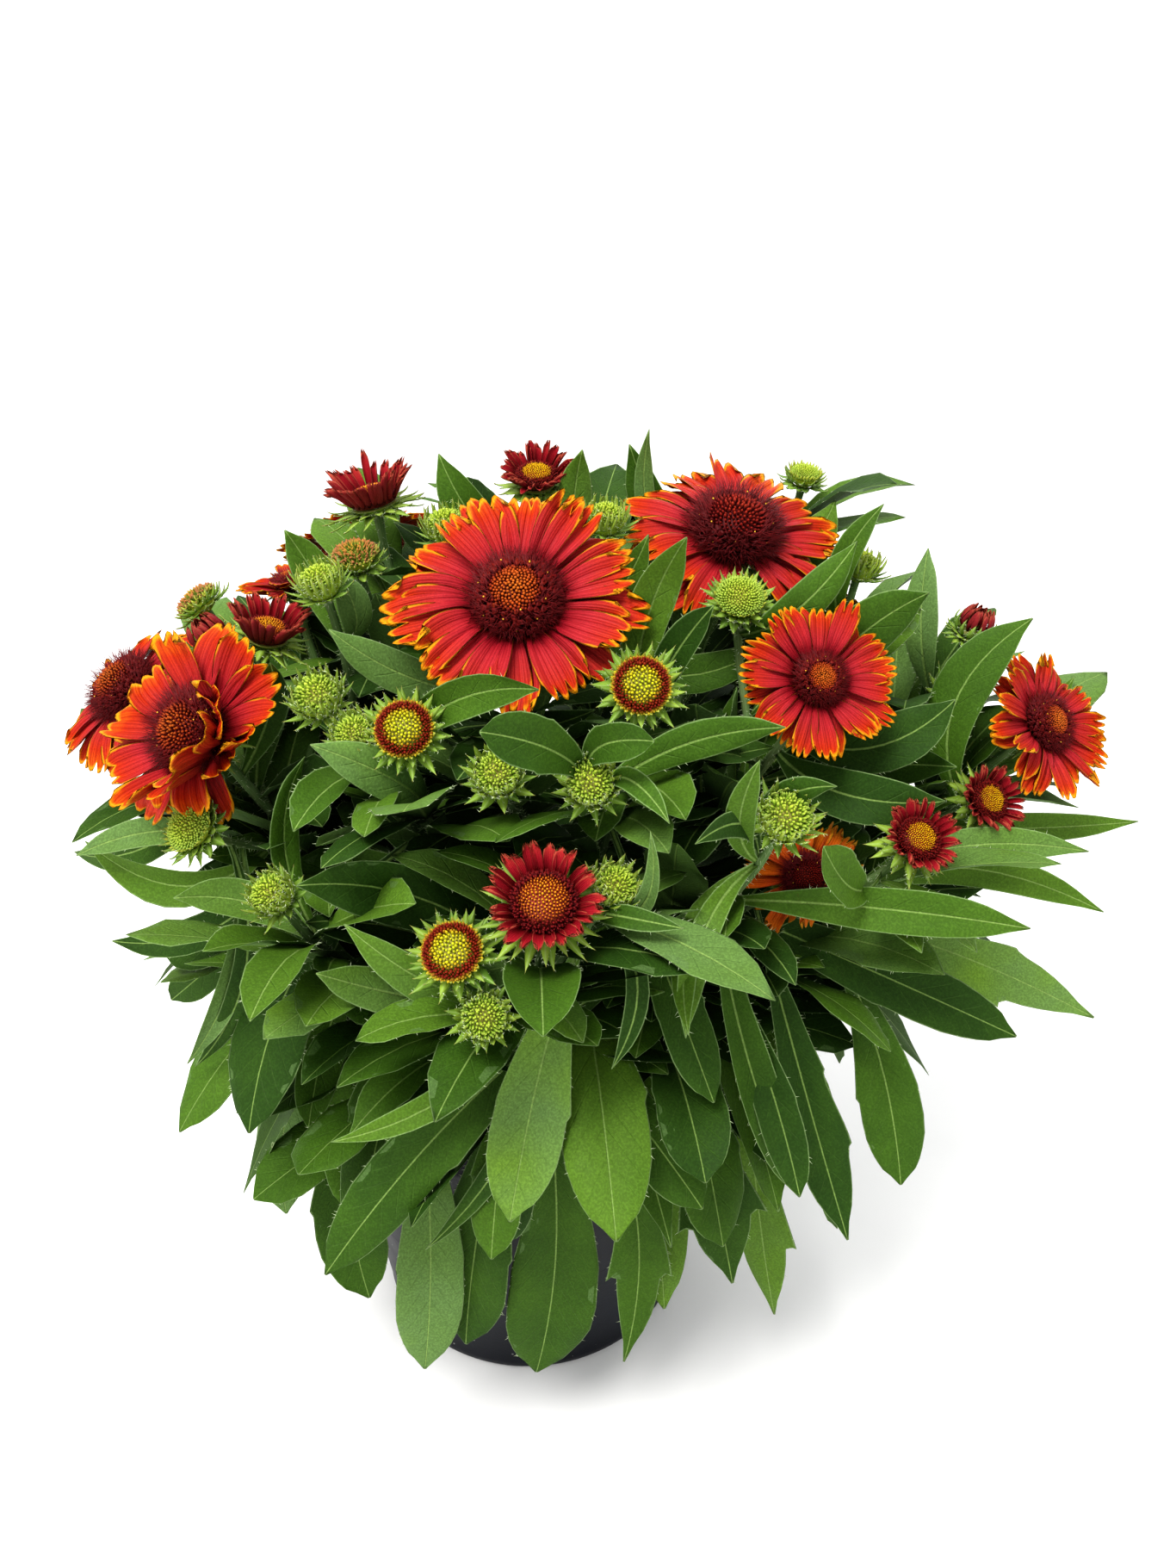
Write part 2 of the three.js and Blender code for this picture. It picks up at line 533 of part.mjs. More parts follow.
// Each kind of head: a green piece that joins the shoot, then petals and disc of their own.
const headMakers = {
  bloom(head, stem, random) {
    const r = head.radius;
    const at = headFrame(head);
    const fall = Math.min(0, head.lift);
    const green = crown(
      onStem(head, stem),
      8,
      [[0.27 * r, -gap - 2]],
      [[0.27 * r, -gap]],
      -gap,
      () => ({ rim: [[(0.5 + 0.08 * random()) * r, -4.6 - random() + 0.55 * fall * r, 0]] }),
      stem,
    );
    const count = 13;
    const slope = Math.tan(Math.PI / count);
    const petals = crown(
      at,
      count,
      [[0.31 * r, 0]],
      [[0.31 * r, petalThickness]],
      petalThickness,
      (i) => {
        const layer = (i % 2 === 0 ? 0.05 : -0.03) * r + (random() - 0.5) * 0.03 * r;
        const reach = r * (0.94 + 0.06 * random());
        const mid = 0.64 * r;
        const midHeight = (0.05 + 0.45 * head.lift) * r + layer;
        const tip = head.lift * r + layer;
        const half = reach * slope * 0.86;
        const sway = (random() - 0.5) * half * 0.2;
        return {
          ridge: [mid, midHeight, mid * slope * 0.9],
          rim: [
            [reach * 0.92, tip - 0.5, -half * 0.85 + sway],
            [reach * 0.88, tip, -half * 0.4 + sway],
            [reach, tip - 1, sway],
            [reach * 0.87, tip, half * 0.42 + sway],
            [reach * 0.93, tip - 0.5, half * 0.84 + sway],
          ],
        };
      },
    );
    const base = petalThickness + gap;
    const low = base + Math.max(0, 0.05 * r * 0.4);
    const disc = floretDome(
      at,
      10,
      [
        [0.27 * r, base, 0],
        [0.31 * r, low + 0.1 * r, 0.04 * r],
        [0.25 * r, low + 0.2 * r, 0.045 * r],
        [0.13 * r, low + 0.25 * r, 0.02 * r],
      ],
      low + 0.29 * r,
    );
    return { green, petals, disc };
  },

  semi(head, stem, random) {
    const r = head.radius;
    const at = headFrame(head);
    const green = crown(
      onStem(head, stem),
      8,
      [[0.55 * r, -gap - 1.8]],
      [[0.55 * r, -gap]],
      -gap,
      () => ({ rim: [[(0.86 + 0.12 * random()) * r, -2.6 - 1.6 * random(), 0]] }),
      stem,
    );
    const count = 10;
    const slope = Math.tan(Math.PI / count);
    const petals = crown(
      at,
      count,
      [[0.58 * r, 0]],
      [[0.58 * r, petalThickness]],
      petalThickness,
      (i) => {
        const layer = (i % 2 === 0 ? 0.06 : -0.02) * r;
        const reach = r * (0.92 + 0.08 * random());
        const mid = 0.8 * r;
        return {
          ridge: [mid, 0.4 * head.lift * r + layer + 0.6, mid * slope * 0.78],
          rim: [[reach, head.lift * r + layer, 0]],
        };
      },
    );
    const base = petalThickness + gap;
    const disc = floretDome(
      at,
      8,
      [[0.5 * r, base, 0], [0.52 * r, base + 0.16 * r, 0.03 * r], [0.3 * r, base + 0.27 * r, 0.03 * r]],
      base + 0.3 * r,
    );
    return { green, petals, disc };
  },

  closed(head, stem, random) {
    const r = head.radius;
    const at = headFrame(head);
    const green = crown(
      onStem(head, stem),
      8,
      [[0.5 * r, -gap - 1.5]],
      [[0.5 * r, -gap]],
      -gap,
      () => ({ rim: [[(0.92 + 0.1 * random()) * r, 0.6 + 1.5 * random(), 0]] }),
      stem,
    );
    const petals = crown(
      at,
      8,
      [[0.3 * r, 0], [0.5 * r, 1.4]],
      [[0.46 * r, 2.6], [0.3 * r, 0.7 * r]],
      0.8 * r,
      () => ({ rim: [[(0.6 + 0.2 * random()) * r, (0.95 + 0.25 * random()) * r, 0]] }),
    );
    return { green, petals };
  },

  button(head, stem, random) {
    const r = head.radius;
    const at = headFrame(head);
    const green = crown(
      onStem(head, stem),
      8,
      [[0.6 * r, -1.4]],
      [[0.64 * r, 0.8]],
      3.2,
      () => ({ rim: [[(0.94 + 0.12 * random()) * r, -1.2 + 2 * random(), 0]] }),
      stem,
    );
    return { green };
  },

  bud(head, stem, random) {
    const r = head.radius;
    const at = headFrame(head);
    const green = crown(
      onStem(head, stem),
      8,
      [[0.74 * r, -0.3]],
      [[0.7 * r, 1.8], [0.5 * r, 0.62 * r]],
      0.78 * r,
      () => ({ rim: [[(0.86 + 0.2 * random()) * r, (0.75 + 0.25 * random()) * r, 0]] }),
      stem,
    );
    return { green };
  },
};

// Every stem with the head on its end.
const stems = headRecords.map((head, index) => {
  const first = headRecords.find((h) => h.shoot === head.shoot);
  const main = mainCurve(first);
  const isMain = head === first;
  const curve = isMain ? main : forkCurve(head, main);
  const steps = isMain ? 5 : 3;
  const footRadius = isMain ? stemFootRadius : 1;
  const points = [];
  const radii = [];
  if (isMain) {
    points.push(new THREE.Vector3(curve[0].x, curve[0].y, soilLevel - holeDepth + gap));
    radii.push(stemFootRadius);
  }
  for (let i = 0; i <= steps; i++) {
    points.push(cubic(curve, i / steps));
    const grown = isMain || i === 0 ? footRadius : 1.5;
    radii.push(grown + (1.3 - grown) * (i / steps));
  }
  const body = tube(points, radii);
  const parts = headMakers[head.kind](head, body, randomFrom(900 + index));
  return { head, shoot: head.shoot, curve, isMain, ...parts };
});


// ---- Pot and soil ----
function turned(profile) {
  const points = profile.map(([r, z]) => new THREE.Vector2(r, z));
  const geometry = new THREE.LatheGeometry(points, potSides);
  geometry.rotateX(Math.PI / 2);
  const solid = solidFromGeometry(geometry);
  return solid;
}

const innerRadius = (z) => potFootRadius - 1 + ((z - potWall) * (82.6 - 61)) / (potHeight - potWall);

function makePot() {
  const shell = turned([
    [0, 0],
    [potFootRadius, 0],
    [potFootRadius + 0.8, 1.5],
    [potTopRadius - 4, potHeight - potRimHeight],
    [potTopRadius - 0.4, potHeight - potRimHeight + 1],
    [potTopRadius, potHeight],
    [innerRadius(potHeight), potHeight],
    [innerRadius(potWall), potWall],
    [0, potWall],
  ]);
  let pot = shell;
  for (let i = 0; i < drainCount; i++) {
    const angle = (i / drainCount) * 2 * Math.PI;
    const cutter = new THREE.CylinderGeometry(drainRadius, drainRadius, 3 * potWall, 8);
    cutter.rotateX(Math.PI / 2);
    cutter.translate(drainRing * Math.cos(angle), drainRing * Math.sin(angle), potWall / 2);
    pot = pot.subtract(solidFromGeometry(cutter));
  }
  return pot;
}

function makeSoil() {
  const random = randomFrom(77);
  const foot = potWall + gap;
  const edge = soilLevel - 1;
  const clear = gap + 0.12;
  let soil = turned([
    [0, foot],
    [innerRadius(foot) - clear, foot],
    [innerRadius(edge) - clear, edge],
    [56, soilLevel + 0.6],
    [0, soilLevel + 0.6],
  ]);
  soil = soil.warp((p) => {
    if (p[2] > soilLevel - 0.8) p[2] += (random() - 0.5) * soilRelief;
  });
  for (const [x, y] of Object.values(shootFeet)) {
    const radius = (stemFootRadius + gap + 0.1) / Math.cos(Math.PI / stemSides);
    const hole = new THREE.CylinderGeometry(radius, radius, 2 * holeDepth, stemSides);
    hole.rotateX(Math.PI / 2);
    hole.rotateZ(Math.PI / 2);
    hole.translate(x, y, soilLevel);
    soil = soil.subtract(solidFromGeometry(hole));
  }
  return soil;
}

const pot = makePot();
const soil = makeSoil();

// ---- Leaves ----
// Places along the stems where a leaf can grow.
const joints = stems.flatMap((stem) => {
  const list = [];
  const last = stem.isMain ? 17 : 16;
  for (let i = stem.isMain ? 1 : 3; i <= last; i++) {
    list.push({ shoot: stem.shoot, point: cubic(stem.curve, i / 20) });
  }
  return list;
});

function nearestJoint(target) {
  let best = joints[0];
  for (const joint of joints) {
    if (joint.point.distanceToSquared(target) < best.point.distanceToSquared(target)) best = joint;
  }
  return best;
}

// A leaf from its joint, its bend, its tip and the way its upper face looks.
function leafFrom(joint, control, tip, faceTo, width, outline, random) {
  const chord = tip.clone().sub(joint.point);
  const side = chord.clone().cross(faceTo).normalize();
  side.applyAxisAngle(chord.clone().normalize(), (random() - 0.5) * 0.7);
  return {
    shoot: joint.shoot,
    spine: [joint.point, control, tip],
    side,
    length: chord.length(),
    width,
    outline,
  };
}

function setLeaf([near, end, width, outline], index) {
  const random = randomFrom(leafSeed + index);
  const by = vec(near);
  const tip = vec(end);
  const joint = nearestJoint(by.clone().addScaledVector(by.clone().sub(tip), 0.35));
  const before = joint.point.distanceTo(by);
  const t = Math.min(0.6, Math.max(0.25, before / (before + by.distanceTo(tip))));
  const chord = tip.clone().sub(joint.point);
  const middle = joint.point.clone().addScaledVector(chord, 0.5);
  const control = by
    .clone()
    .addScaledVector(joint.point, -(1 - t) * (1 - t))
    .addScaledVector(tip, -t * t)
    .multiplyScalar(1 / (2 * t * (1 - t)));
  const offset = control.sub(middle).clampLength(0, 0.45 * chord.length());
  const faceTo = vec(viewer).sub(middle).normalize();
  return leafFrom(joint, middle.add(offset), tip, faceTo, width, outline, random);
}

// Leaves spread evenly over the mound, by equal turns from the pot's side up to the crown.
function moundLeaf(index) {
  const random = randomFrom(leafSeed + 500 + index);
  const turn = index * 2.39996 + (random() - 0.5) * 0.35;
  const rise = 0.985 - (1.8 * (index + 0.5)) / moundLeaves + (random() - 0.5) * 0.04;
  const round = Math.sqrt(1 - rise * rise);
  const outward = new THREE.Vector3(round * Math.cos(turn), round * Math.sin(turn), rise);
  const reach = 0.93 + 0.09 * random();
  const tip = new THREE.Vector3(...mound.centre.map((c, i) => {
    return c + mound.radii[i] * reach * outward.getComponent(i);
  }));
  const low = Math.max(0, Math.min(1, (0.25 - rise) / 0.6));
  const size = 58 + 26 * random() + 34 * low;
  const way = outward.clone().addScaledVector(up, 0.45 - 0.7 * low).normalize();
  const joint = nearestJoint(tip.clone().addScaledVector(way, -size));
  const chord = tip.clone().sub(joint.point);
  if (chord.length() > 1.25 * size + 20) {
    chord.setLength(1.25 * size + 20);
    tip.copy(joint.point).add(chord);
  }
  const arch = (0.1 + 0.12 * random() + 0.28 * low) * chord.length();
  const control = joint.point
    .clone()
    .addScaledVector(chord, 0.5)
    .addScaledVector(up, arch)
    .addScaledVector(outward, low * 0.1 * chord.length());
  const width = (0.2 + 0.07 * random()) * Math.min(chord.length(), 95) + 3;
  const pick = random();
  const outline = low > 0.3 ? (pick < 0.3 ? "toothed" : "spoon") : pick < 0.2 ? "spoon" : "lance";
  return leafFrom(joint, control, tip, up, width, outline, random);
}

// Leaves up the stems inside the mound, turned round each stem by equal turns.
function stemLeaf(stem, step) {
  const random = randomFrom(leafSeed + 900 + 10 * stems.indexOf(stem) + step);
  const at = 0.38 + 0.15 * step + 0.06 * random();
  const joint = { shoot: stem.shoot, point: cubic(stem.curve, at) };
  const outward = Math.atan2(joint.point.y - mound.centre[1], joint.point.x - mound.centre[0]);
  const turn = outward + (random() - 0.5) * 2.6;
  const size = 50 + 22 * random();
  const climb = 0.25 + 0.55 * random();
  const chord = new THREE.Vector3(Math.cos(turn), Math.sin(turn), climb).setLength(size);
  const tip = joint.point.clone().add(chord);
  const control = joint.point
    .clone()
    .addScaledVector(chord, 0.5)
    .addScaledVector(up, (0.08 + 0.14 * random()) * size);
  const width = (0.2 + 0.08 * random()) * size + 3;
  return leafFrom(joint, control, tip, up, width, "lance", random);
}

// The same leaf turned about the upright through its joint, lifted and shortened.
function bent(leaf, [turn, lift, scale]) {
  const foot = leaf.spine[0];
  const chord = leaf.spine[2].clone().sub(foot);
  const hinge = chord.clone().cross(up).normalize();
  const move = (p) =>
    p
      .clone()
      .sub(foot)
      .multiplyScalar(scale)
      .applyAxisAngle(hinge, lift)
      .applyAxisAngle(up, turn)
      .add(foot);
  return {
    ...leaf,
    spine: leaf.spine.map(move),
    side: leaf.side.clone().applyAxisAngle(hinge, lift).applyAxisAngle(up, turn),
    length: leaf.length * scale,
    width: leaf.width * (0.4 + 0.6 * scale),
  };
}

// Sight lines to the heads that a mound leaf stays out of.
function hidesHead(leaf) {
  return headRecords.some((head) => {
    const sight = head.place.y < 20 ? vec(viewer).sub(head.place).normalize() : head.facing;
    return [0.25, 0.4, 0.55, 0.7, 0.85, 1].some((t) => {
      const from = quadratic(leaf.spine, t).sub(head.place);
      const ahead = from.dot(sight);
      const aside = from.addScaledVector(sight, -ahead).length();
      return ahead > 2 && ahead < sightLength && aside < head.radius * 0.9 + leaf.width * 0.3;
    });
  });
}

const placed = [];
function addObstacle(solid, shoot) {
  placed.push({ solid, shoot, box: solid.boundingBox() });
}

const boxesMeet = (a, b) =>
  [0, 1, 2].every((k) => a.min[k] <= b.max[k] && b.min[k] <= a.max[k]);

// True when the blade comes too close to something; near its joint it may touch its own shoot.
function crosses(leaf) {
  const whole = leafSolid(leaf, 0, gap);
  const outer = leafSolid(leaf, 0.13, gap);
  const wholeBox = whole.boundingBox();
  return placed.some(({ solid, shoot, box }) => {
    if (!boxesMeet(wholeBox, box)) return false;
    return !(shoot === leaf.shoot ? outer : whole).intersect(solid).isEmpty();
  });
}

addObstacle(pot, "");
addObstacle(soil, "");
for (const { green, petals, disc, shoot } of stems) {
  addObstacle(green, shoot);
  if (petals) addObstacle(petals, "");
  if (disc) addObstacle(disc, "");
}

function settle(leaf, keepsSight) {
  for (const bend of bends) {
    const tried = bent(leaf, bend);
    if (keepsSight && hidesHead(tried)) continue;
    if (crosses(tried)) continue;
    addObstacle(leafSolid(tried, 0, 0), leaf.shoot);
    return { ...tried, bend };
  }
  return null;
}

const leaves = [];
setLeaves.forEach((row, index) => {
  const leaf = settle(setLeaf(row, index), false);
  if (leaf) leaves.push(leaf);
});
for (let index = moundLeaves - 1; index >= 0; index--) {
  const leaf = settle(moundLeaf(index), true);
  if (leaf) leaves.push(leaf);
}
for (const stem of stems.filter((stem) => stem.isMain)) {
  for (let step = 0; step < stemLeafSteps; step++) {
    const leaf = settle(stemLeaf(stem, step), true);
    if (leaf) leaves.push(leaf);
  }
}

// ---- The plant, one mesh for each shoot, ring of petals and disc ----
const plant = new THREE.Group();
plant.name = "blanket_flower";
plant.add(meshOf("pot", pot, colours.pot, 0.45));
plant.add(meshOf("soil", soil, colours.soil, 0.95));

for (const shoot of Object.keys(shootFeet)) {
  const members = [
    ...stems.filter((stem) => stem.shoot === shoot).map((stem) => stem.green),
    ...leaves.filter((leaf) => leaf.shoot === shoot).map((leaf) => leafSolid(leaf, 0, 0)),
  ];
  const whole = wasm.Manifold.union(members).simplify(0.01);
  plant.add(meshOf(`shoot_${shoot}`, whole, colours.green, 0.75));
}

for (const { head, petals, disc } of stems) {
  const dark = head.kind !== "bloom";
  if (petals) {
    plant.add(meshOf(`petals_${head.name}`, petals, dark ? colours.darkPetal : colours.petal, 0.6));
  }
  if (disc) {
    plant.add(meshOf(`disc_${head.name}`, disc, dark ? colours.youngDisc : colours.disc, 0.8));
  }
}

export default plant;
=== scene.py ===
import math

import bpy
import numpy as np
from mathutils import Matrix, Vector
from mathutils.kdtree import KDTree
from numpy.linalg import norm


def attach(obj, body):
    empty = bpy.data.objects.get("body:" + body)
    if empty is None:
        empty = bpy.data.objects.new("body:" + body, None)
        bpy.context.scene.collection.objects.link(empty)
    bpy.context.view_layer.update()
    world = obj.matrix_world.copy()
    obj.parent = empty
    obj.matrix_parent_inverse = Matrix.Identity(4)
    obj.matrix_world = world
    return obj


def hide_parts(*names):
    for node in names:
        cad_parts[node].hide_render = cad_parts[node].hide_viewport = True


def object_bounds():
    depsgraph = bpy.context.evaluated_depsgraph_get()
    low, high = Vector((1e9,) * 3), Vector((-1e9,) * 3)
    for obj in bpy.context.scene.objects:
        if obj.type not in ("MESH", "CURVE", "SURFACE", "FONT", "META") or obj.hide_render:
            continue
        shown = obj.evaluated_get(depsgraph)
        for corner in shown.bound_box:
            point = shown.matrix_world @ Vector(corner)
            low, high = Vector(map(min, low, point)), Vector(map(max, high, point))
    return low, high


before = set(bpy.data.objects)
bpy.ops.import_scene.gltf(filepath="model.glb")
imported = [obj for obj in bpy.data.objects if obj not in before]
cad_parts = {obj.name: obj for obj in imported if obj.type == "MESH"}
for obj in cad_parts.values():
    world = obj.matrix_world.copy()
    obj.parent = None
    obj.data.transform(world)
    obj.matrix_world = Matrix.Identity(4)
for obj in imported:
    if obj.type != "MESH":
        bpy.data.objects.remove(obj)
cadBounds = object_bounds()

# A blanket flower in its nursery pot. Lengths here are millimetres, and makeObject turns them into metres.
metre = 0.001
fullTurn = 2 * math.pi
goldenTurn = 2.39996
upright = np.array([0.0, 0.0, 1.0])
viewer = np.array([24.0, -393.0, 414.0])    # the flowers are kept in sight from here


def inScene(name, data):
    thing = bpy.data.objects.new(name, data)
    bpy.context.scene.collection.objects.link(thing)
    return thing


camera = {"place": (0.0244, -0.393, 0.4136), "tiltDown": 25.0, "lens": 27.04, "sensor": 36.0, "nearest": 0.01}


def makeCamera():
    lens = bpy.data.cameras.new("plantCamera")
    lens.lens = camera["lens"]
    lens.sensor_width = camera["sensor"]
    lens.clip_start = camera["nearest"]
    holder = inScene("plantCamera", lens)
    holder.location = camera["place"]
    holder.rotation_euler = (math.radians(90 - camera["tiltDown"]), 0, 0)
    bpy.context.scene.camera = holder


makeCamera()

# the plant's plan, as the solids have it
soilLevel = 116.0
mound = {"centre": np.array([15.0, 0, 182]), "radii": np.array([165.0, 148, 158])}
moundLeaves = 84
stemLeafSteps = 3
leafSeed = 4100

shootFeet = {
    "s01": (-40, -3), "s02": (-29, 10), "s03": (-33, -22), "s04": (-16, -5), "s05": (-17, -27),
    "s06": (1, -19), "s07": (0, 5), "s08": (17, 3), "s09": (12, -35), "s10": (21, -17),
    "s11": (30, -35), "s12": (43, -22), "s13": (49, -4), "s14": (33, 4), "s15": (0, -50),
    "s16": (-21, -48), "s17": (-19, 27), "s18": (8, 30), "s19": (35, 27),
}

# name, kind, place, facing, radius, shoot, fork height on the main stem, lift of the petals
headPlan = [
    ("b01", "bloom", (4, -62, 317), (-0.03, -0.7, 0.71), 38, "s06", 0, 0.06),
    ("b02", "bloom", (72, -5, 322), (0.12, -0.5, 0.86), 39, "s08", 0, -0.12),
    ("b03", "bloom", (92, -65, 294), (0.12, -0.8, 0.59), 25, "s10", 0, 0.1),
    ("b04", "bloom", (-94, -62, 276), (-0.42, -0.72, 0.55), 33, "s03", 0, 0.16),
    ("b05", "bloom", (-130, -19, 273), (-0.5, -0.42, 0.76), 31, "s01", 0, -0.16),
    ("b06", "bloom", (175, -30, 266), (0.5, -0.66, 0.56), 26, "s13", 0, 0.1),
    ("g05", "bud", (78, -104, 268), (0.15, -0.7, 0.7), 9.5, "s11", 0, 0),
    ("b07", "bloom", (90, -80, 237), (0.05, -0.9, 0.42), 19, "s11", 0.5, -0.45),
    ("b08", "bloom", (-78, 8, 302), (-0.2, 0.05, 0.98), 20, "s02", 0, 0.16),
    ("b09", "bloom", (-68, 76, 296), (-0.35, 0.6, 0.72), 32, "s17", 0, 0.06),
    ("b10", "bloom", (42, 88, 304), (0.15, 0.65, 0.74), 34, "s18", 0, -0.06),
    ("b11", "bloom", (118, 70, 274), (0.5, 0.5, 0.71), 29, "s19", 0, 0.1),
    ("d01", "semi", (-49, 15, 330), (-0.2, -0.1, 0.97), 16, "s04", 0, 0.5),
    ("d02", "semi", (7, 12, 338), (0.02, -0.4, 0.92), 13, "s07", 0, 0.32),
    ("d03", "semi", (13, -128, 255), (0, -0.72, 0.69), 16, "s15", 0, 0.2),
    ("d04", "semi", (121, -86, 252), (0.2, -0.78, 0.6), 12, "s12", 0, 0.22),
    ("d05", "semi", (154, -47, 246), (0.35, -0.8, 0.48), 12, "s13", 0.62, 0.22),
    ("d06", "semi", (-76, -40, 300), (0.25, -0.15, 0.96), 13, "s02", 0.7, 0.55),
    ("d07", "semi", (-12, 104, 284), (-0.05, 0.75, 0.66), 15, "s17", 0.6, 0.3),
    ("c01", "closed", (154, -10, 292), (0.3, -0.2, 0.93), 8, "s14", 0, 0),
    ("c02", "closed", (-98, -23, 292), (-0.4, -0.3, 0.87), 9, "s03", 0.72, 0),
    ("y01", "button", (39, -88, 301), (0.02, -0.85, 0.52), 12, "s09", 0, 0),
    ("y02", "button", (-26, -93, 290), (0, -0.8, 0.6), 12, "s05", 0, 0),
    ("y03", "button", (71, -41, 312), (0, -0.6, 0.8), 11, "s10", 0.72, 0),
    ("y04", "button", (-51, -15, 318), (-0.1, -0.3, 0.95), 10, "s04", 0.66, 0),
    ("y05", "button", (103, 42, 334), (0.1, -0.3, 0.95), 8, "s08", 0.7, 0),
    ("y06", "button", (-93, -82, 254), (-0.4, -0.6, 0.69), 11, "s03", 0.6, 0),
    ("y07", "button", (-11, -132, 243), (-0.1, -0.65, 0.75), 12, "s15", 0.6, 0),
    ("y08", "button", (-111, 6, 297), (-0.6, 0, 0.8), 10, "s01", 0.66, 0),
    ("y09", "button", (12, 58, 322), (0, 0.3, 0.95), 10, "s18", 0.66, 0),
    ("g01", "bud", (-53, -75, 292), (-0.1, -0.6, 0.79), 9, "s05", 0.7, 0),
    ("g02", "bud", (-40, -89, 286), (-0.2, -0.6, 0.77), 8, "s05", 0.6, 0),
    ("g03", "bud", (0, -104, 281), (0, -0.7, 0.71), 8.5, "s06", 0.5, 0),
    ("g04", "bud", (25, -107, 280), (0, -0.8, 0.6), 8.5, "s09", 0.62, 0),
    ("g06", "bud", (150, -16, 272), (0.3, -0.7, 0.65), 9, "s14", 0.62, 0),
    ("g07", "bud", (31, -118, 254), (0.3, -0.5, 0.81), 8, "s15", 0.66, 0),
    ("g08", "bud", (-22, -6, 325), (-0.1, -0.3, 0.95), 9, "s04", 0.56, 0),
    ("g09", "bud", (-57, -41, 316), (-0.2, -0.3, 0.93), 8.5, "s02", 0.5, 0),
    ("g10", "bud", (30, -16, 330), (0.05, -0.3, 0.95), 8, "s07", 0.6, 0),
    ("g11", "bud", (-3, -138, 227), (0.1, -0.8, 0.59), 8, "s15", 0.45, 0),
    ("g12", "bud", (-63, -108, 246), (-0.3, -0.6, 0.74), 8, "s16", 0, 0),
    ("g13", "bud", (117, 2, 310), (0.2, -0.1, 0.97), 8, "s14", 0.5, 0),
    ("g14", "bud", (-112, 62, 262), (-0.6, 0.4, 0.69), 8.5, "s17", 0.5, 0),
    ("g15", "bud", (82, 108, 262), (0.3, 0.7, 0.65), 8.5, "s18", 0.5, 0),
    ("g16", "bud", (152, 38, 262), (0.6, 0.3, 0.74), 8.5, "s19", 0.6, 0),
]

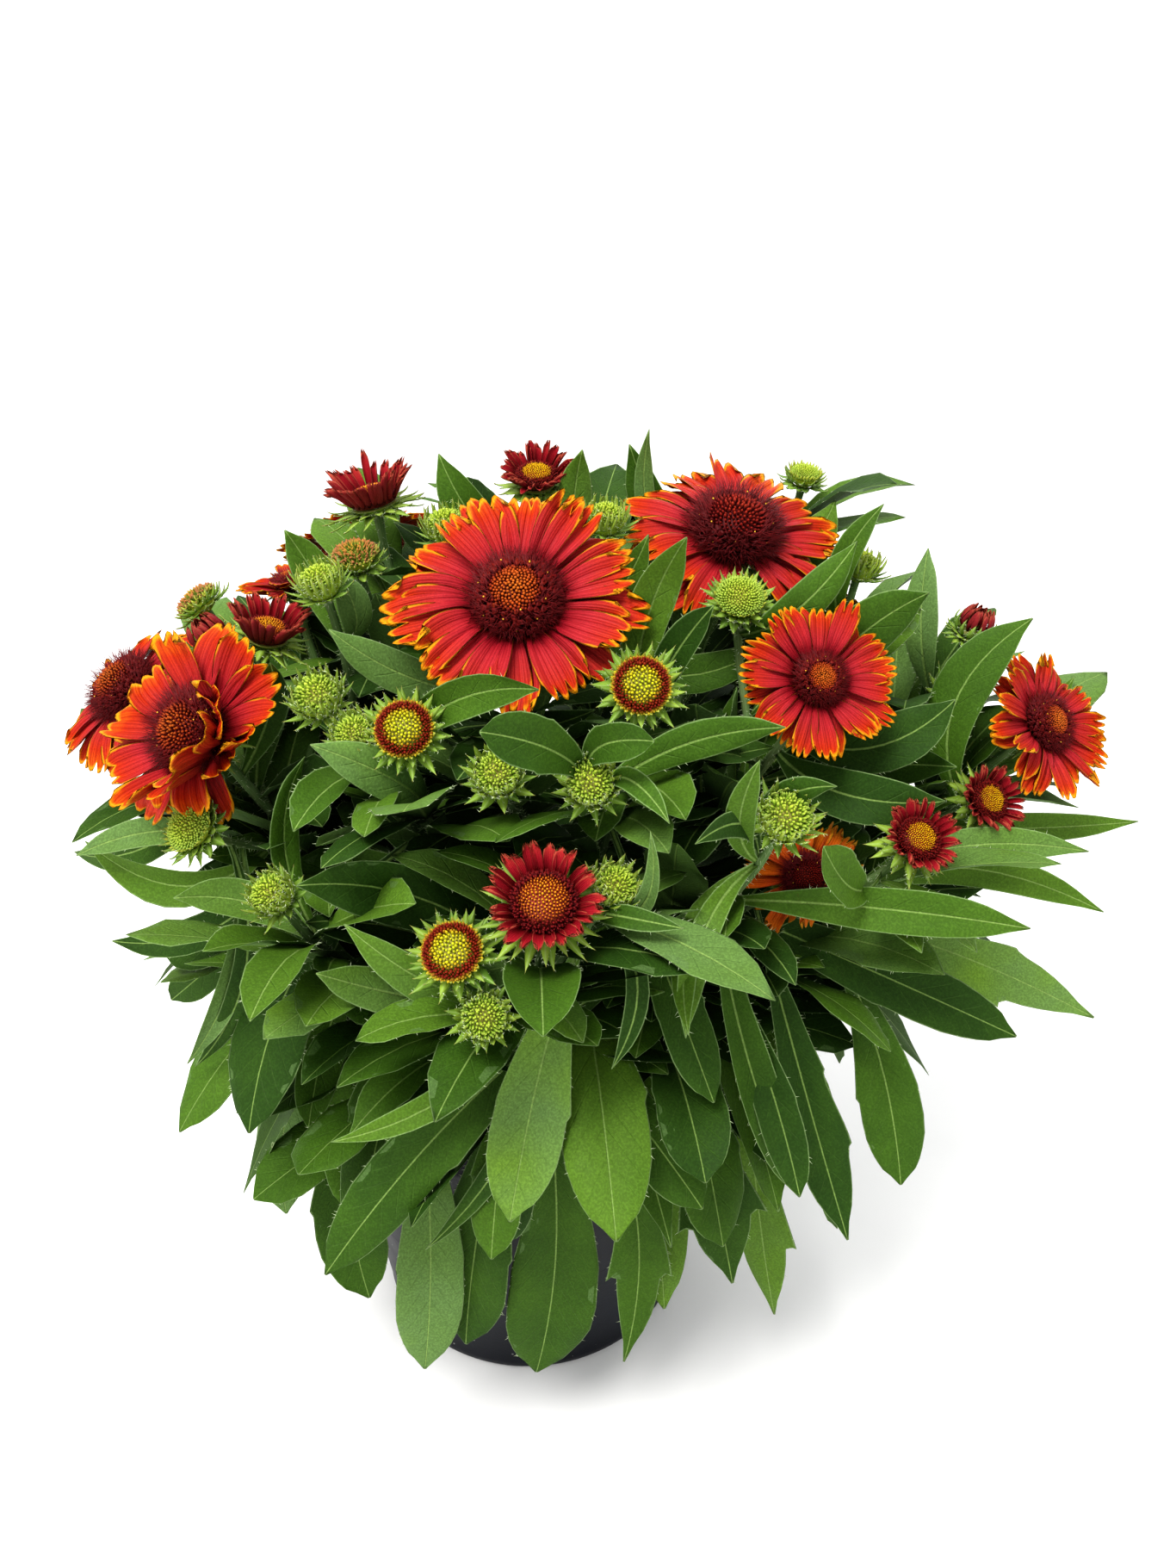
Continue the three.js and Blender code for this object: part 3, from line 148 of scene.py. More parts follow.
# leaves set one by one: a place near the stem, the tip, width, outline
setLeaves = [
    ((13, -95, 198), (-61, -120, 130), 21, "spoon"), ((18, -112, 220), (2, -140, 157), 22, "spoon"),
    ((26, -98, 179), (59, -125, 147), 19, "spoon"), ((29, -84, 149), (37, -104, 55), 23, "toothed"),
    ((12, -87, 145), (6, -101, 46), 32, "spoon"), ((-4, -86, 150), (-18, -105, 65), 28, "spoon"),
    ((-31, -82, 147), (-33, -98, 57), 24, "spoon"), ((0, -100, 169), (-6, -121, 122), 18, "spoon"),
    ((-52, -72, 147), (-54, -88, 68), 26, "spoon"), ((58, -80, 158), (73, -105, 94), 30, "toothed"),
    ((80, -62, 150), (94, -78, 48), 24, "toothed"), ((85, -80, 195), (107, -115, 124), 25, "toothed"),
    ((117, -70, 178), (130, -90, 123), 21, "spoon"), ((74, -95, 193), (88, -125, 152), 14, "spoon"),
    ((58, -85, 161), (68, -112, 118), 24, "spoon"), ((73, -70, 214), (161, -95, 176), 19, "spoon"),
    ((117, -50, 200), (201, -55, 166), 25, "toothed"), ((91, -85, 231), (156, -97, 231), 15, "lance"),
    ((132, -50, 222), (198, -52, 207), 13, "lance"), ((149, -30, 228), (224, -12, 221), 11, "lance"),
    ((123, -60, 231), (183, -52, 235), 12, "lance"), ((143, -60, 265), (171, -66, 266), 9, "lance"),
    ((-58, -80, 218), (-80, -110, 163), 25, "spoon"), ((-6, -100, 230), (-51, -128, 261), 20, "lance"),
    ((4, -115, 214), (-31, -145, 251), 14, "lance"), ((-16, -110, 211), (-47, -134, 238), 13, "lance"),
    ((-100, -60, 220), (-140, -52, 234), 14, "lance"), ((-69, -90, 230), (-96, -97, 239), 13, "lance"),
    ((-90, -60, 212), (-133, -62, 202), 13, "lance"), ((-91, -50, 200), (-124, -45, 186), 16, "spoon"),
    ((-81, -80, 219), (-99, -95, 176), 9, "lance"), ((-120, -20, 223), (-170, 0, 202), 12, "lance"),
    ((-112, -20, 169), (-137, -15, 145), 15, "spoon"), ((-55, -75, 192), (-66, -95, 152), 16, "spoon"),
    ((-47, -75, 181), (-51, -103, 121), 25, "spoon"), ((-76, -50, 150), (-89, -60, 80), 20, "spoon"),
    ((44, -90, 221), (61, -122, 185), 17, "spoon"), ((61, -100, 242), (52, -130, 215), 9, "lance"),
    ((38, -95, 280), (76, -108, 297), 11, "lance"), ((73, -95, 252), (107, -106, 276), 12, "lance"),
    ((48, 20, 325), (51, 14, 357), 8, "lance"), ((98, 0, 322), (111, 4, 352), 19, "lance"),
    ((104, -10, 314), (121, -6, 334), 10, "lance"), ((139, -10, 282), (139, 0, 318), 12, "lance"),
    ((140, -10, 284), (162, 2, 311), 14, "lance"), ((143, -35, 275), (166, -31, 303), 18, "lance"),
    ((102, -50, 298), (124, -58, 319), 18, "lance"), ((39, -60, 305), (51, -78, 340), 14, "lance"),
    ((46, -75, 300), (58, -88, 324), 11, "lance"), ((-56, -20, 305), (-67, -16, 333), 16, "lance"),
    ((-46, -40, 300), (-57, -42, 322), 15, "lance"), ((-10, 5, 322), (-25, 6, 348), 15, "lance"),
    ((19, 5, 318), (20, 3, 350), 13, "lance"), ((42, 20, 320), (28, 22, 346), 17, "lance"),
    ((-25, -60, 292), (-50, -68, 311), 13, "lance"), ((-77, -30, 300), (-93, -33, 322), 12, "lance"),
    ((-75, -55, 278), (-70, -70, 301), 11, "lance"), ((-25, -85, 266), (-50, -103, 290), 14, "lance"),
    ((-69, -85, 238), (-61, -97, 282), 10, "lance"), ((186, 10, 240), (212, 20, 262), 12, "lance"),
    ((180, 0, 240), (198, 4, 271), 13, "lance"), ((104, -60, 270), (134, -64, 288), 18, "lance"),
    ((96, -70, 262), (130, -80, 262), 16, "lance"), ((-15, -85, 295), (14, -98, 306), 12, "lance"),
    ((80, -50, 306), (103, -49, 331), 12, "lance"),
]

# slender leaves that hang before the others, finer than the solids go
hungLeaves = [
    ((1, -112, 201), (-48, -135, 182), 9, "lance"), ((9, -106, 188), (-27, -118, 123), 8, "lance"),
    ((2, -100, 163), (-4, -108, 115), 19, "spoon"), ((71, -100, 193), (91, -112, 139), 14, "lance"),
    ((28, -128, 253), (49, -136, 253), 7, "lance"), ((39, -118, 236), (31, -128, 202), 7, "lance"),
    ((39, -122, 245), (40, -130, 278), 6, "lance"), ((56, -112, 249), (52, -122, 208), 9, "lance"),
    ((-80, -84, 220), (-102, -88, 171), 9, "lance"), ((-107, -62, 243), (-139, -62, 234), 10, "lance"),
    ((15, -116, 294), (-2, -128, 304), 15, "spoon"), ((26, -112, 295), (41, -122, 299), 11, "spoon"),
    ((67, -112, 278), (52, -124, 271), 8, "lance"), ((98, -104, 247), (88, -112, 264), 15, "spoon"),
    ((65, -112, 273), (68, -120, 293), 9, "lance"), ((72, -100, 280), (91, -108, 280), 9, "lance"),
    ((35, -112, 286), (45, -128, 279), 7, "lance"), ((14, -112, 217), (5, -122, 220), 6, "lance"),
    ((-25, -30, 262), (27, -34, 273), 15, "lance"), ((50, -25, 280), (86, -32, 297), 14, "lance"),
    ((30, -25, 300), (43, -32, 330), 12, "lance"), ((100, -40, 254), (138, -62, 265), 17, "lance"),
]

# a leaf that would cross its neighbours is turned, lifted or shortened: turn, lift, scale
bends = [
    (0, 0, 1), (0.12, 0, 1), (-0.12, 0, 1), (0, 0.12, 1), (0, -0.12, 1),
    (0.22, 0.1, 0.96), (-0.22, 0.1, 0.96), (0.22, -0.12, 0.94), (-0.22, -0.12, 0.94),
    (0, 0.25, 0.92), (0, -0.25, 0.9), (0.38, 0, 0.9), (-0.38, 0, 0.9),
    (0.3, 0.25, 0.85), (-0.3, 0.25, 0.85), (0.3, -0.25, 0.8), (-0.3, -0.25, 0.8),
    (0.55, 0.1, 0.78), (-0.55, 0.1, 0.78), (0, 0.4, 0.75), (0, 0, 0.7),
    (0.5, -0.2, 0.66), (-0.5, -0.2, 0.66), (0, 0.15, 0.55),
]


def unit(a):
    a = np.asarray(a, float)
    return a / norm(a, axis=-1, keepdims=True)


def smooth(low, high, x):
    t = np.clip((np.asarray(x, float) - low) / (high - low), 0, 1)
    return t * t * (3 - 2 * t)


def turnedAbout(p, axis, angle):
    c, s = math.cos(angle), math.sin(angle)
    return p * c + np.cross(axis, p) * s + np.outer(np.dot(p, axis), axis).reshape(np.shape(p)) * (1 - c)


def randomFrom(seed):
    # the same row of numbers in 0..1 that the solids were grown with
    state = [seed]

    def draw():
        state[0] = (state[0] + 0x6D2B79F5) & 0xFFFFFFFF
        t = state[0]
        t = ((t ^ (t >> 15)) * (t | 1)) & 0xFFFFFFFF
        t ^= (t + (((t ^ (t >> 7)) * (t | 61)) & 0xFFFFFFFF)) & 0xFFFFFFFF
        return (t ^ (t >> 14)) / 4294967296

    return draw


def cubic(p, t):
    t = np.asarray(t, float)[..., None]
    s = 1 - t
    return p[0] * s**3 + p[1] * 3 * s * s * t + p[2] * 3 * s * t * t + p[3] * t**3


def quadratic(p, t):
    t = np.asarray(t, float)[..., None]
    s = 1 - t
    return p[0] * s * s + p[1] * 2 * s * t + p[2] * t * t


def quadraticSlope(p, t):
    t = np.asarray(t, float)[..., None]
    return unit(p[1] * (2 - 4 * t) + p[0] * (2 * t - 2) + p[2] * 2 * t)


def runOf(path):
    # how far along a path each of its points lies
    return np.concatenate([[0], np.cumsum(norm(np.diff(path, axis=0), axis=1))])


# stems and leaves, placed by the solids' rules
stems = {
    "foot": 3, "rise": 0.42, "lean": 0.12,      # of a main stem
    "along": 0.18, "outward": 0.12,             # how a side stem leaves it
    "arrive": 0.3, "sag": 0.35,                 # how both come to their heads
    "cup": 4, "bloomCup": 4.5,
}


def growStems():
    names = ("name", "kind", "place", "facing", "radius", "shoot", "fork", "lift")
    grown = [dict(zip(names, row), index=index) for index, row in enumerate(headPlan)]
    mains = {}
    for head in grown:
        head["place"], head["facing"] = np.array(head["place"], float), unit(head["facing"])
        end = head["place"] - head["facing"] * stems["bloomCup" if head["kind"] == "bloom" else "cup"]
        head["isMain"] = head["shoot"] not in mains
        if head["isMain"]:
            x, y = shootFeet[head["shoot"]]
            start = np.array([x, y, soilLevel + stems["foot"]])
            reach = (end[2] - start[2]) * stems["rise"]
            leave = np.array([end[0] - x, end[1] - y, 0]) * stems["lean"] + upright * reach
            sag = upright * stems["sag"] * reach
        else:
            main = mains[head["shoot"]]
            start = cubic(main, head["fork"])
            along = unit(cubic(main, head["fork"] + 0.05) - start)
            reach = norm(end - start)
            outward = unit((end - start) * (1, 1, 0))
            leave = along * reach * stems["along"] + outward * reach * stems["outward"]
            sag = 0
        arrive = head["facing"] * stems["arrive"] * reach
        head["curve"] = np.array([start, start + leave, end - arrive - sag, end])
        mains.setdefault(head["shoot"], head["curve"])
    return grown


heads = growStems()
joints = []
for head in heads:
    first, last = (1, 17) if head["isMain"] else (3, 16)
    joints += [(head["shoot"], cubic(head["curve"], i / 20)) for i in range(first, last + 1)]
jointPoints = np.array([point for _, point in joints])


def nearestJoint(target):
    return joints[int(np.argmin(((jointPoints - target) ** 2).sum(1)))]


def leafFrom(joint, control, tip, faceTo, width, outline, draw):
    chord = tip - joint[1]
    side = turnedAbout(unit(np.cross(chord, faceTo)), unit(chord), (draw() - 0.5) * 0.7)
    return {
        "shoot": joint[0], "spine": np.array([joint[1], control, tip]), "side": side,
        "length": norm(chord), "width": width, "outline": outline,
    }


def setLeaf(row, seed):
    near, end, width, outline = row
    by, tip = np.array(near, float), np.array(end, float)
    joint = nearestJoint(by + (by - tip) * 0.35)
    before = norm(joint[1] - by)
    t = min(0.6, max(0.25, before / (before + norm(by - tip))))
    chord = tip - joint[1]
    middle = joint[1] + chord * 0.5
    control = (by - joint[1] * (1 - t) ** 2 - tip * t * t) / (2 * t * (1 - t))
    offset = control - middle
    most = 0.45 * norm(chord)
    if norm(offset) > most:
        offset = unit(offset) * most
    return leafFrom(joint, middle + offset, tip, unit(viewer - middle), width, outline, randomFrom(seed))


def moundLeaf(index):
    draw = randomFrom(leafSeed + 500 + index)
    turn = index * goldenTurn + (draw() - 0.5) * 0.35
    rise = 0.985 - (1.8 * (index + 0.5)) / moundLeaves + (draw() - 0.5) * 0.04
    around = math.sqrt(1 - rise * rise)
    outward = np.array([around * math.cos(turn), around * math.sin(turn), rise])
    tip = mound["centre"] + mound["radii"] * (0.93 + 0.09 * draw()) * outward
    low = max(0, min(1, (0.25 - rise) / 0.6))
    size = 58 + 26 * draw() + 34 * low
    way = unit(outward + upright * (0.45 - 0.7 * low))
    joint = nearestJoint(tip - way * size)
    chord = tip - joint[1]
    most = 1.25 * size + 20
    if norm(chord) > most:
        chord = unit(chord) * most
        tip = joint[1] + chord
    length = norm(chord)
    arch = (0.1 + 0.12 * draw() + 0.28 * low) * length
    control = joint[1] + chord * 0.5 + upright * arch + outward * low * 0.1 * length
    width = (0.2 + 0.07 * draw()) * min(length, 95) + 3
    pick = draw()
    broad, slim = ("toothed", "spoon") if low > 0.3 else ("spoon", "lance")
    outline = broad if pick < (0.3 if low > 0.3 else 0.2) else slim
    return leafFrom(joint, control, tip, upright, width, outline, draw)


# the leaves on a stem: how far round they spread, and least and spread of length, climb, arch and width
sideLeaves = {
    "stem": {
        "spread": 2.6, "size": (50, 22), "climb": (0.25, 0.55), "arch": (0.08, 0.14), "width": (0.2, 0.08),
    },
    "filler": {
        "spread": 3.4, "size": (44, 30), "climb": (0.15, 0.65), "arch": (0.1, 0.16), "width": (0.22, 0.12),
    },
}


def sideLeaf(kind, head, at, draw):
    rule = sideLeaves[kind]

    def drawn(name):
        return rule[name][0] + rule[name][1] * draw()

    spot = cubic(head["curve"], at)
    low = 1 - smooth(125, 205, spot[2]) if kind == "filler" else 0
    x, y = (spot - mound["centre"])[:2]
    turn = math.atan2(y, x) + (draw() - 0.5) * (rule["spread"] - 1.6 * low)
    size = drawn("size") + 40 * low
    climb = drawn("climb") * (1 - 0.5 * low)
    chord = unit([math.cos(turn), math.sin(turn), climb]) * size
    control = spot + chord * 0.5 + upright * drawn("arch") * size
    width = drawn("width") * size + 3
    outline = "spoon" if low > 0.4 and draw() < 0.7 else "lance"
    return leafFrom((head["shoot"], spot), control, spot + chord, upright, width, outline, draw)


def stemLeaf(head, step):
    draw = randomFrom(leafSeed + 900 + 10 * head["index"] + step)
    return sideLeaf("stem", head, 0.38 + 0.15 * step + 0.06 * draw(), draw)


def fillLeaf(head, step, steps):
    draw = randomFrom(leafSeed + 2000 + 20 * head["index"] + step)
    first, span = (0.1, 0.72) if head["isMain"] else (0.3, 0.5)
    return sideLeaf("filler", head, first + span * (step + draw()) / steps, draw)


def bent(leaf, bend):
    turn, lift, scale = bend
    foot = leaf["spine"][0]
    hinge = unit(np.cross(leaf["spine"][2] - foot, upright))
    spine = turnedAbout(turnedAbout((leaf["spine"] - foot) * scale, hinge, lift), upright, turn) + foot
    side = turnedAbout(turnedAbout(leaf["side"], hinge, lift), upright, turn)
    width = leaf["width"] * (0.4 + 0.6 * scale)
    return dict(leaf, spine=spine, side=side, length=leaf["length"] * scale, width=width)


# a leaf's bend is found by its tip, which is a corner of its shoot's solid
def shootCorners(shoot):
    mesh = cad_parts["shoot_" + shoot].data
    tree = KDTree(len(mesh.vertices))
    for i, vertex in enumerate(mesh.vertices):
        tree.insert(vertex.co, i)
    tree.balance()
    return tree


corners = {shoot: shootCorners(shoot) for shoot in shootFeet}


tipReach = 0.05     # a corner this near is the leaf's own


def asGrown(leaf):
    for bend in bends:
        tried = bent(leaf, bend)
        if corners[leaf["shoot"]].find(Vector(tried["spine"][2] * metre))[2] < tipReach * metre:
            return tried
    return None


planned = [setLeaf(row, leafSeed + i) for i, row in enumerate(setLeaves)]
planned += [moundLeaf(i) for i in range(moundLeaves - 1, -1, -1)]
planned += [stemLeaf(h, step) for h in heads if h["isMain"] for step in range(stemLeafSteps)]
leaves = [leaf for leaf in map(asGrown, planned) if leaf]
print("leaves found in the solids:", len(leaves), "of", len(planned))
hung = [setLeaf(row, leafSeed + 3000 + i) for i, row in enumerate(hungLeaves)]

# leaves that fill the clump between those of the solids
filling = {
    "mainSteps": 24,
    "forkSteps": 7,
    "cell": 6.0,            # leaves keep out of each other's cells
    "openCells": 2,         # except this many, in the open
    "deepCells": 14,        # and deep in the clump
    "boxMargin": 3.0,       # and this far inside the solids' box
    "potRadius": 90,        # they keep out of the pot, up to this height
    "potHeight": 134,
    "sight": (2, 60),       # and don't hide a head from this near or this far before it
    "headRoom": (-8, 6, 2), # nor meet one: below it, above it and around it
    "inside": 0.78,         # deep in the clump is nearer to its middle than this
    "deepFrom": 146,        # and higher than this
}


def samplePoints(leaf):
    t = np.linspace(0.22, 1, 12)
    middle = quadratic(leaf["spine"], t)
    half = leaf["width"] * 0.5 * np.sin(np.pi * np.clip(t, 0, 0.97))
    return np.concatenate([middle + leaf["side"] * (half * v)[:, None] for v in (-0.6, 0, 0.6)])


def fromHead(points, head, way):
    # how far points lie before a head, and how far aside
    away = points - head["place"]
    ahead = away @ way
    return ahead, norm(away - ahead[:, None] * way, axis=1)


def hidesHead(leaf):
    nearest, furthest = filling["sight"]
    points = quadratic(leaf["spine"], np.array([0.25, 0.4, 0.55, 0.7, 0.85, 1]))
    for head in heads:
        sight = unit(viewer - head["place"]) if head["place"][1] < 20 else head["facing"]
        ahead, aside = fromHead(points, head, sight)
        clear = head["radius"] * 0.9 + leaf["width"] * 0.3
        if ((ahead > nearest) & (ahead < furthest) & (aside < clear)).any():
            return True
    return False


def meetsHead(points):
    below, above, around = filling["headRoom"]
    for head in heads:
        height, out = fromHead(points, head, head["facing"])
        top = above + head["radius"] * max(0.3, head["lift"])
        low = below + head["radius"] * min(0, head["lift"])
        if ((out < head["radius"] + around) & (height > low) & (height < top)).any():
            return True
    return False


def cellsOf(leaf):
    return set(map(tuple, np.floor(samplePoints(leaf) / filling["cell"]).astype(int)))


def isFree(leaf, taken):
    points, cells = samplePoints(leaf), cellsOf(leaf)
    low, high = [np.array(side) / metre for side in cadBounds]
    margin = filling["boxMargin"]
    if (points < low + margin).any() or (points > high - margin).any():
        return False
    isNear = np.hypot(points[:, 0], points[:, 1]) < filling["potRadius"]
    inPot = isNear & (points[:, 2] < filling["potHeight"])
    depth = norm((points - mound["centre"]) / mound["radii"], axis=1).max()
    isDeep = depth < filling["inside"] and points[:, 2].min() > filling["deepFrom"]
    shared = filling["deepCells" if isDeep else "openCells"]
    return not (inPot.any() or len(cells & taken) > shared or meetsHead(points) or hidesHead(leaf))


def fillClump():
    taken = set().union(*map(cellsOf, leaves + hung))
    added = []
    for head in heads:
        steps = filling["mainSteps" if head["isMain"] else "forkSteps"]
        for step in range(steps):
            leaf = fillLeaf(head, step, steps)
            ways = (bent(leaf, bend) for bend in bends)
            grown = next((way for way in ways if isFree(way, taken)), None)
            if grown:
                taken |= cellsOf(grown)
                added.append(grown)
    return added


fillers = fillClump()
print("leaves added to fill the clump:", len(fillers))


class Bundle:
    # gathers the corners and faces of one piece with what its finishes and hairs read
    def __init__(self):
        self.rows = {"point": [], "mark": [], "tone": [], "furWay": [], "fur": []}
        self.corners, self.sizes, self.slots = [], [], []
        self.count = 0

    def add(self, points, faces, slot=0, mark=0, tone=0, furWay=0, fur=0):
        given = {"point": points, "mark": mark, "tone": tone, "furWay": furWay, "fur": fur}
        for name, value in given.items():
            row = np.zeros((len(points), 2 if name == "fur" else 3))
            row[:] = value
            self.rows[name].append(row)
        self.addFaces(np.asarray(faces) + self.count, slot)
        self.count += len(points)

    def addFaces(self, faces, slot=0):
        self.corners.append(faces.ravel())
        self.sizes.append(np.full(len(faces), faces.shape[1]))
        self.slots.append(np.full(len(faces), slot))

    def addApart(self, points, faceSets, slot=0, mark=0, tone=0, furWay=0, fur=0):
        # faces with four and with three corners, each kind with corners of its own
        for faces in faceSets:
            if len(faces):
                used, index = np.unique(faces, return_inverse=True)
                ownMark, ownWay = [np.broadcast_to(value, points.shape)[used] for value in (mark, furWay)]
                self.add(points[used], index.reshape(faces.shape), slot, ownMark, tone, ownWay, fur)

    def makeObject(self, name, finishes):
        rows = {name: np.concatenate(parts).astype(np.float32) for name, parts in self.rows.items()}
        mesh = bpy.data.meshes.new(name)
        mesh.vertices.add(self.count)
        mesh.vertices.foreach_set("co", (rows["point"] * metre).ravel())
        corners = np.concatenate(self.corners).astype(np.int32)
        sizes = np.concatenate(self.sizes)
        mesh.loops.add(len(corners))
        mesh.loops.foreach_set("vertex_index", corners)
        mesh.polygons.add(len(sizes))
        mesh.polygons.foreach_set("loop_start", np.concatenate([[0], np.cumsum(sizes)[:-1]]).astype(np.int32))
        mesh.polygons.foreach_set("material_index", np.concatenate(self.slots).astype(np.int32))
        mesh.polygons.foreach_set("use_smooth", np.ones(len(sizes), bool))
        for key in ("mark", "tone", "furWay"):
            layer = mesh.attributes.new(key, "FLOAT_VECTOR", "POINT")
            layer.data.foreach_set("vector", rows[key].ravel())
        for key, column, scale in (("furDensity", 0, metre**-2), ("furLength", 1, metre)):
            layer = mesh.attributes.new(key, "FLOAT", "POINT")
            layer.data.foreach_set("value", rows["fur"][:, column] * np.float32(scale))
        for finish in finishes:
            mesh.materials.append(finish)
        mesh.update(calc_edges=True)
        return inScene(name, mesh)


def quads(index):
    return np.stack([index[:-1, :-1], index[:-1, 1:], index[1:, 1:], index[1:, :-1]], -1).reshape(-1, 4)


def looped(rows, sides):
    # the numbers of the points in closed rows, with the first of each row again at its end
    index = np.arange(rows * sides).reshape(rows, sides)
    return np.concatenate([index, index[:, :1]], 1)


def shell(top, under):
    # a closed thin blade of an upper and a lower grid that meet at the margin
    rows, columns = top.shape[:2]
    upper = np.arange(rows * columns).reshape(rows, columns)
    lower = upper.copy()
    lower[1:-1, 1:-1] = rows * columns + np.arange((rows - 2) * (columns - 2)).reshape(rows - 2, -1)
    return bothSides(top, under), np.concatenate([quads(upper), quads(lower[:, ::-1])])


def bothSides(top, under=None):
    under = top if under is None else under
    return np.concatenate([top.reshape(-1, top.shape[-1]), under[1:-1, 1:-1].reshape(-1, top.shape[-1])])


def stacked(*parts):
    shape = np.broadcast_shapes(*[np.shape(p) for p in parts])
    return np.stack([np.broadcast_to(p, shape) for p in parts], -1).astype(float)


def curveThrough(keys, t):
    # a smooth curve through the key points, level with their slopes
    keys = np.array(keys, float)
    x, y = keys[:, 0], keys[:, 1]
    slope = np.gradient(y, x)
    i = np.clip(np.searchsorted(x, t, side="right") - 1, 0, len(x) - 2)
    step = x[i + 1] - x[i]
    s = (t - x[i]) / step
    a, b = (1 + 2 * s) * (1 - s) ** 2, s * (1 - s) ** 2 * step
    c, d = s * s * (3 - 2 * s), s * s * (s - 1) * step
    return a * y[i] + b * slope[i] + c * y[i + 1] + d * slope[i + 1]


def lathe(profile, sides):
    # turned points and their faces; a row on the axis is one point
    turn = np.arange(sides) / sides * fullTurn
    points, rows = [], []
    for radius, height in profile:
        isPole = radius < 1e-6
        rows.append(len(points) + np.arange(sides) * (not isPole))
        row = zip(radius * np.cos(turn), radius * np.sin(turn), np.full(sides, height))
        points.extend([(0, 0, height)] if isPole else row)
    fours, threes = [], []
    for low, high in zip(rows, rows[1:]):
        for k in range(sides):
            m = (k + 1) % sides
            if low[0] == low[1]:
                threes.append((low[0], high[m], high[k]))
            elif high[0] == high[1]:
                threes.append((low[k], low[m], high[0]))
            else:
                fours.append((low[k], low[m], high[m], high[k]))
    faceSets = [np.array(faces, int).reshape(-1, size) for faces, size in ((fours, 4), (threes, 3))]
    return np.array(points, float), faceSets


class Wire:
    # an output of a node; sums and products of wires are nodes of their own
    def __init__(self, tree, node, key=0):
        self.tree, self.node, self.key = tree, node, key

    def __getitem__(self, key):
        return Wire(self.tree, self.node, key)

    def calc(self, operation, *others):
        return place(self.tree, "ShaderNodeMath", dict(enumerate((self, *others))), operation=operation)

    def __add__(self, other):
        return self.calc("ADD", other)

    def __sub__(self, other):
        return self.calc("SUBTRACT", other)

    def __rsub__(self, other):
        return place(self.tree, "ShaderNodeMath", {0: other, 1: self}, operation="SUBTRACT")

    def __mul__(self, other):
        return self.calc("MULTIPLY", other)

    def __truediv__(self, other):
        return self.calc("DIVIDE", other)


def fill(node, inputs):
    for key, value in inputs.items():
        if isinstance(value, Wire):
            value.tree.links.new(value.node.outputs[value.key], node.inputs[key])
        else:
            node.inputs[key].default_value = value


def place(tree, kind, inputs=None, **settings):
    node = tree.nodes.new(kind)
    for key, value in settings.items():
        setattr(node, key, value)
    fill(node, inputs or {})
    return Wire(tree, node)


def newTree(name, inputs):
    # an input without a default is given by its kind
    kinds = {float: "Float", int: "Int", tuple: "Vector"}
    tree = bpy.data.node_groups.new(name, "GeometryNodeTree")
    tree.interface.new_socket("Geometry", in_out="INPUT", socket_type="NodeSocketGeometry")
    for label, value in inputs.items():
        kind = "NodeSocket" + kinds.get(type(value), value)
        socket = tree.interface.new_socket(label, in_out="INPUT", socket_type=kind)
        if type(value) in kinds:
            socket.default_value = value
    tree.interface.new_socket("Geometry", in_out="OUTPUT", socket_type="NodeSocketGeometry")
    return tree, place(tree, "NodeGroupInput")


def joined(tree, given, made):
    # the repeats made real, given their finish and joined to what came in
    real = place(tree, "GeometryNodeRealizeInstances", {"Geometry": made})
    shown = place(tree, "GeometryNodeSetMaterial", {"Geometry": real, "Material": given["Finish"]})
    both = place(tree, "GeometryNodeJoinGeometry", {0: shown})
    fill(both.node, {0: given["Geometry"]})
    place(tree, "NodeGroupOutput", {0: both})
    return tree


def attribute(tree, name, kind="FLOAT"):
    return place(tree, "GeometryNodeInputNamedAttribute", {"Name": name}, data_type=kind)


def drawn(given, low, high):
    # a random number or vector for each repeat
    if isinstance(low, tuple):
        inputs, kind, output = {0: low, 1: high}, "FLOAT_VECTOR", 0
    else:
        inputs, kind, output = {2: low, 3: high}, "FLOAT", 1
    inputs["Seed"] = given["Seed"]
    return place(given.tree, "FunctionNodeRandomValue", inputs, data_type=kind)[output]


def turnTo(way):
    return place(way.tree, "FunctionNodeAlignRotationToVector", {"Vector": way}, axis="Z")


def strayed(given, way, stray):
    # a turn to a way, a little off it
    off = {0: drawn(given, (-1, -1, -1), (1, 1, 1)), "Scale": stray}
    leaned = place(given.tree, "ShaderNodeVectorMath", off, operation="SCALE")
    return turnTo(place(given.tree, "ShaderNodeVectorMath", {0: way, 1: leaned}, operation="ADD"))


def combined(tree, *parts):
    return place(tree, "ShaderNodeCombineXYZ", dict(enumerate(parts)))


def shapeOf(given):
    return place(given.tree, "GeometryNodeObjectInfo", {"Object": given["Shape"]})["Geometry"]


def toned(repeats, *parts):
    # notes up to three numbers of each repeat for its finish
    inputs = {"Geometry": repeats, "Name": "tone", "Value": combined(repeats.tree, *parts)}
    settings = {"data_type": "FLOAT_VECTOR", "domain": "INSTANCE"}
    return place(repeats.tree, "GeometryNodeStoreNamedAttribute", inputs, **settings)


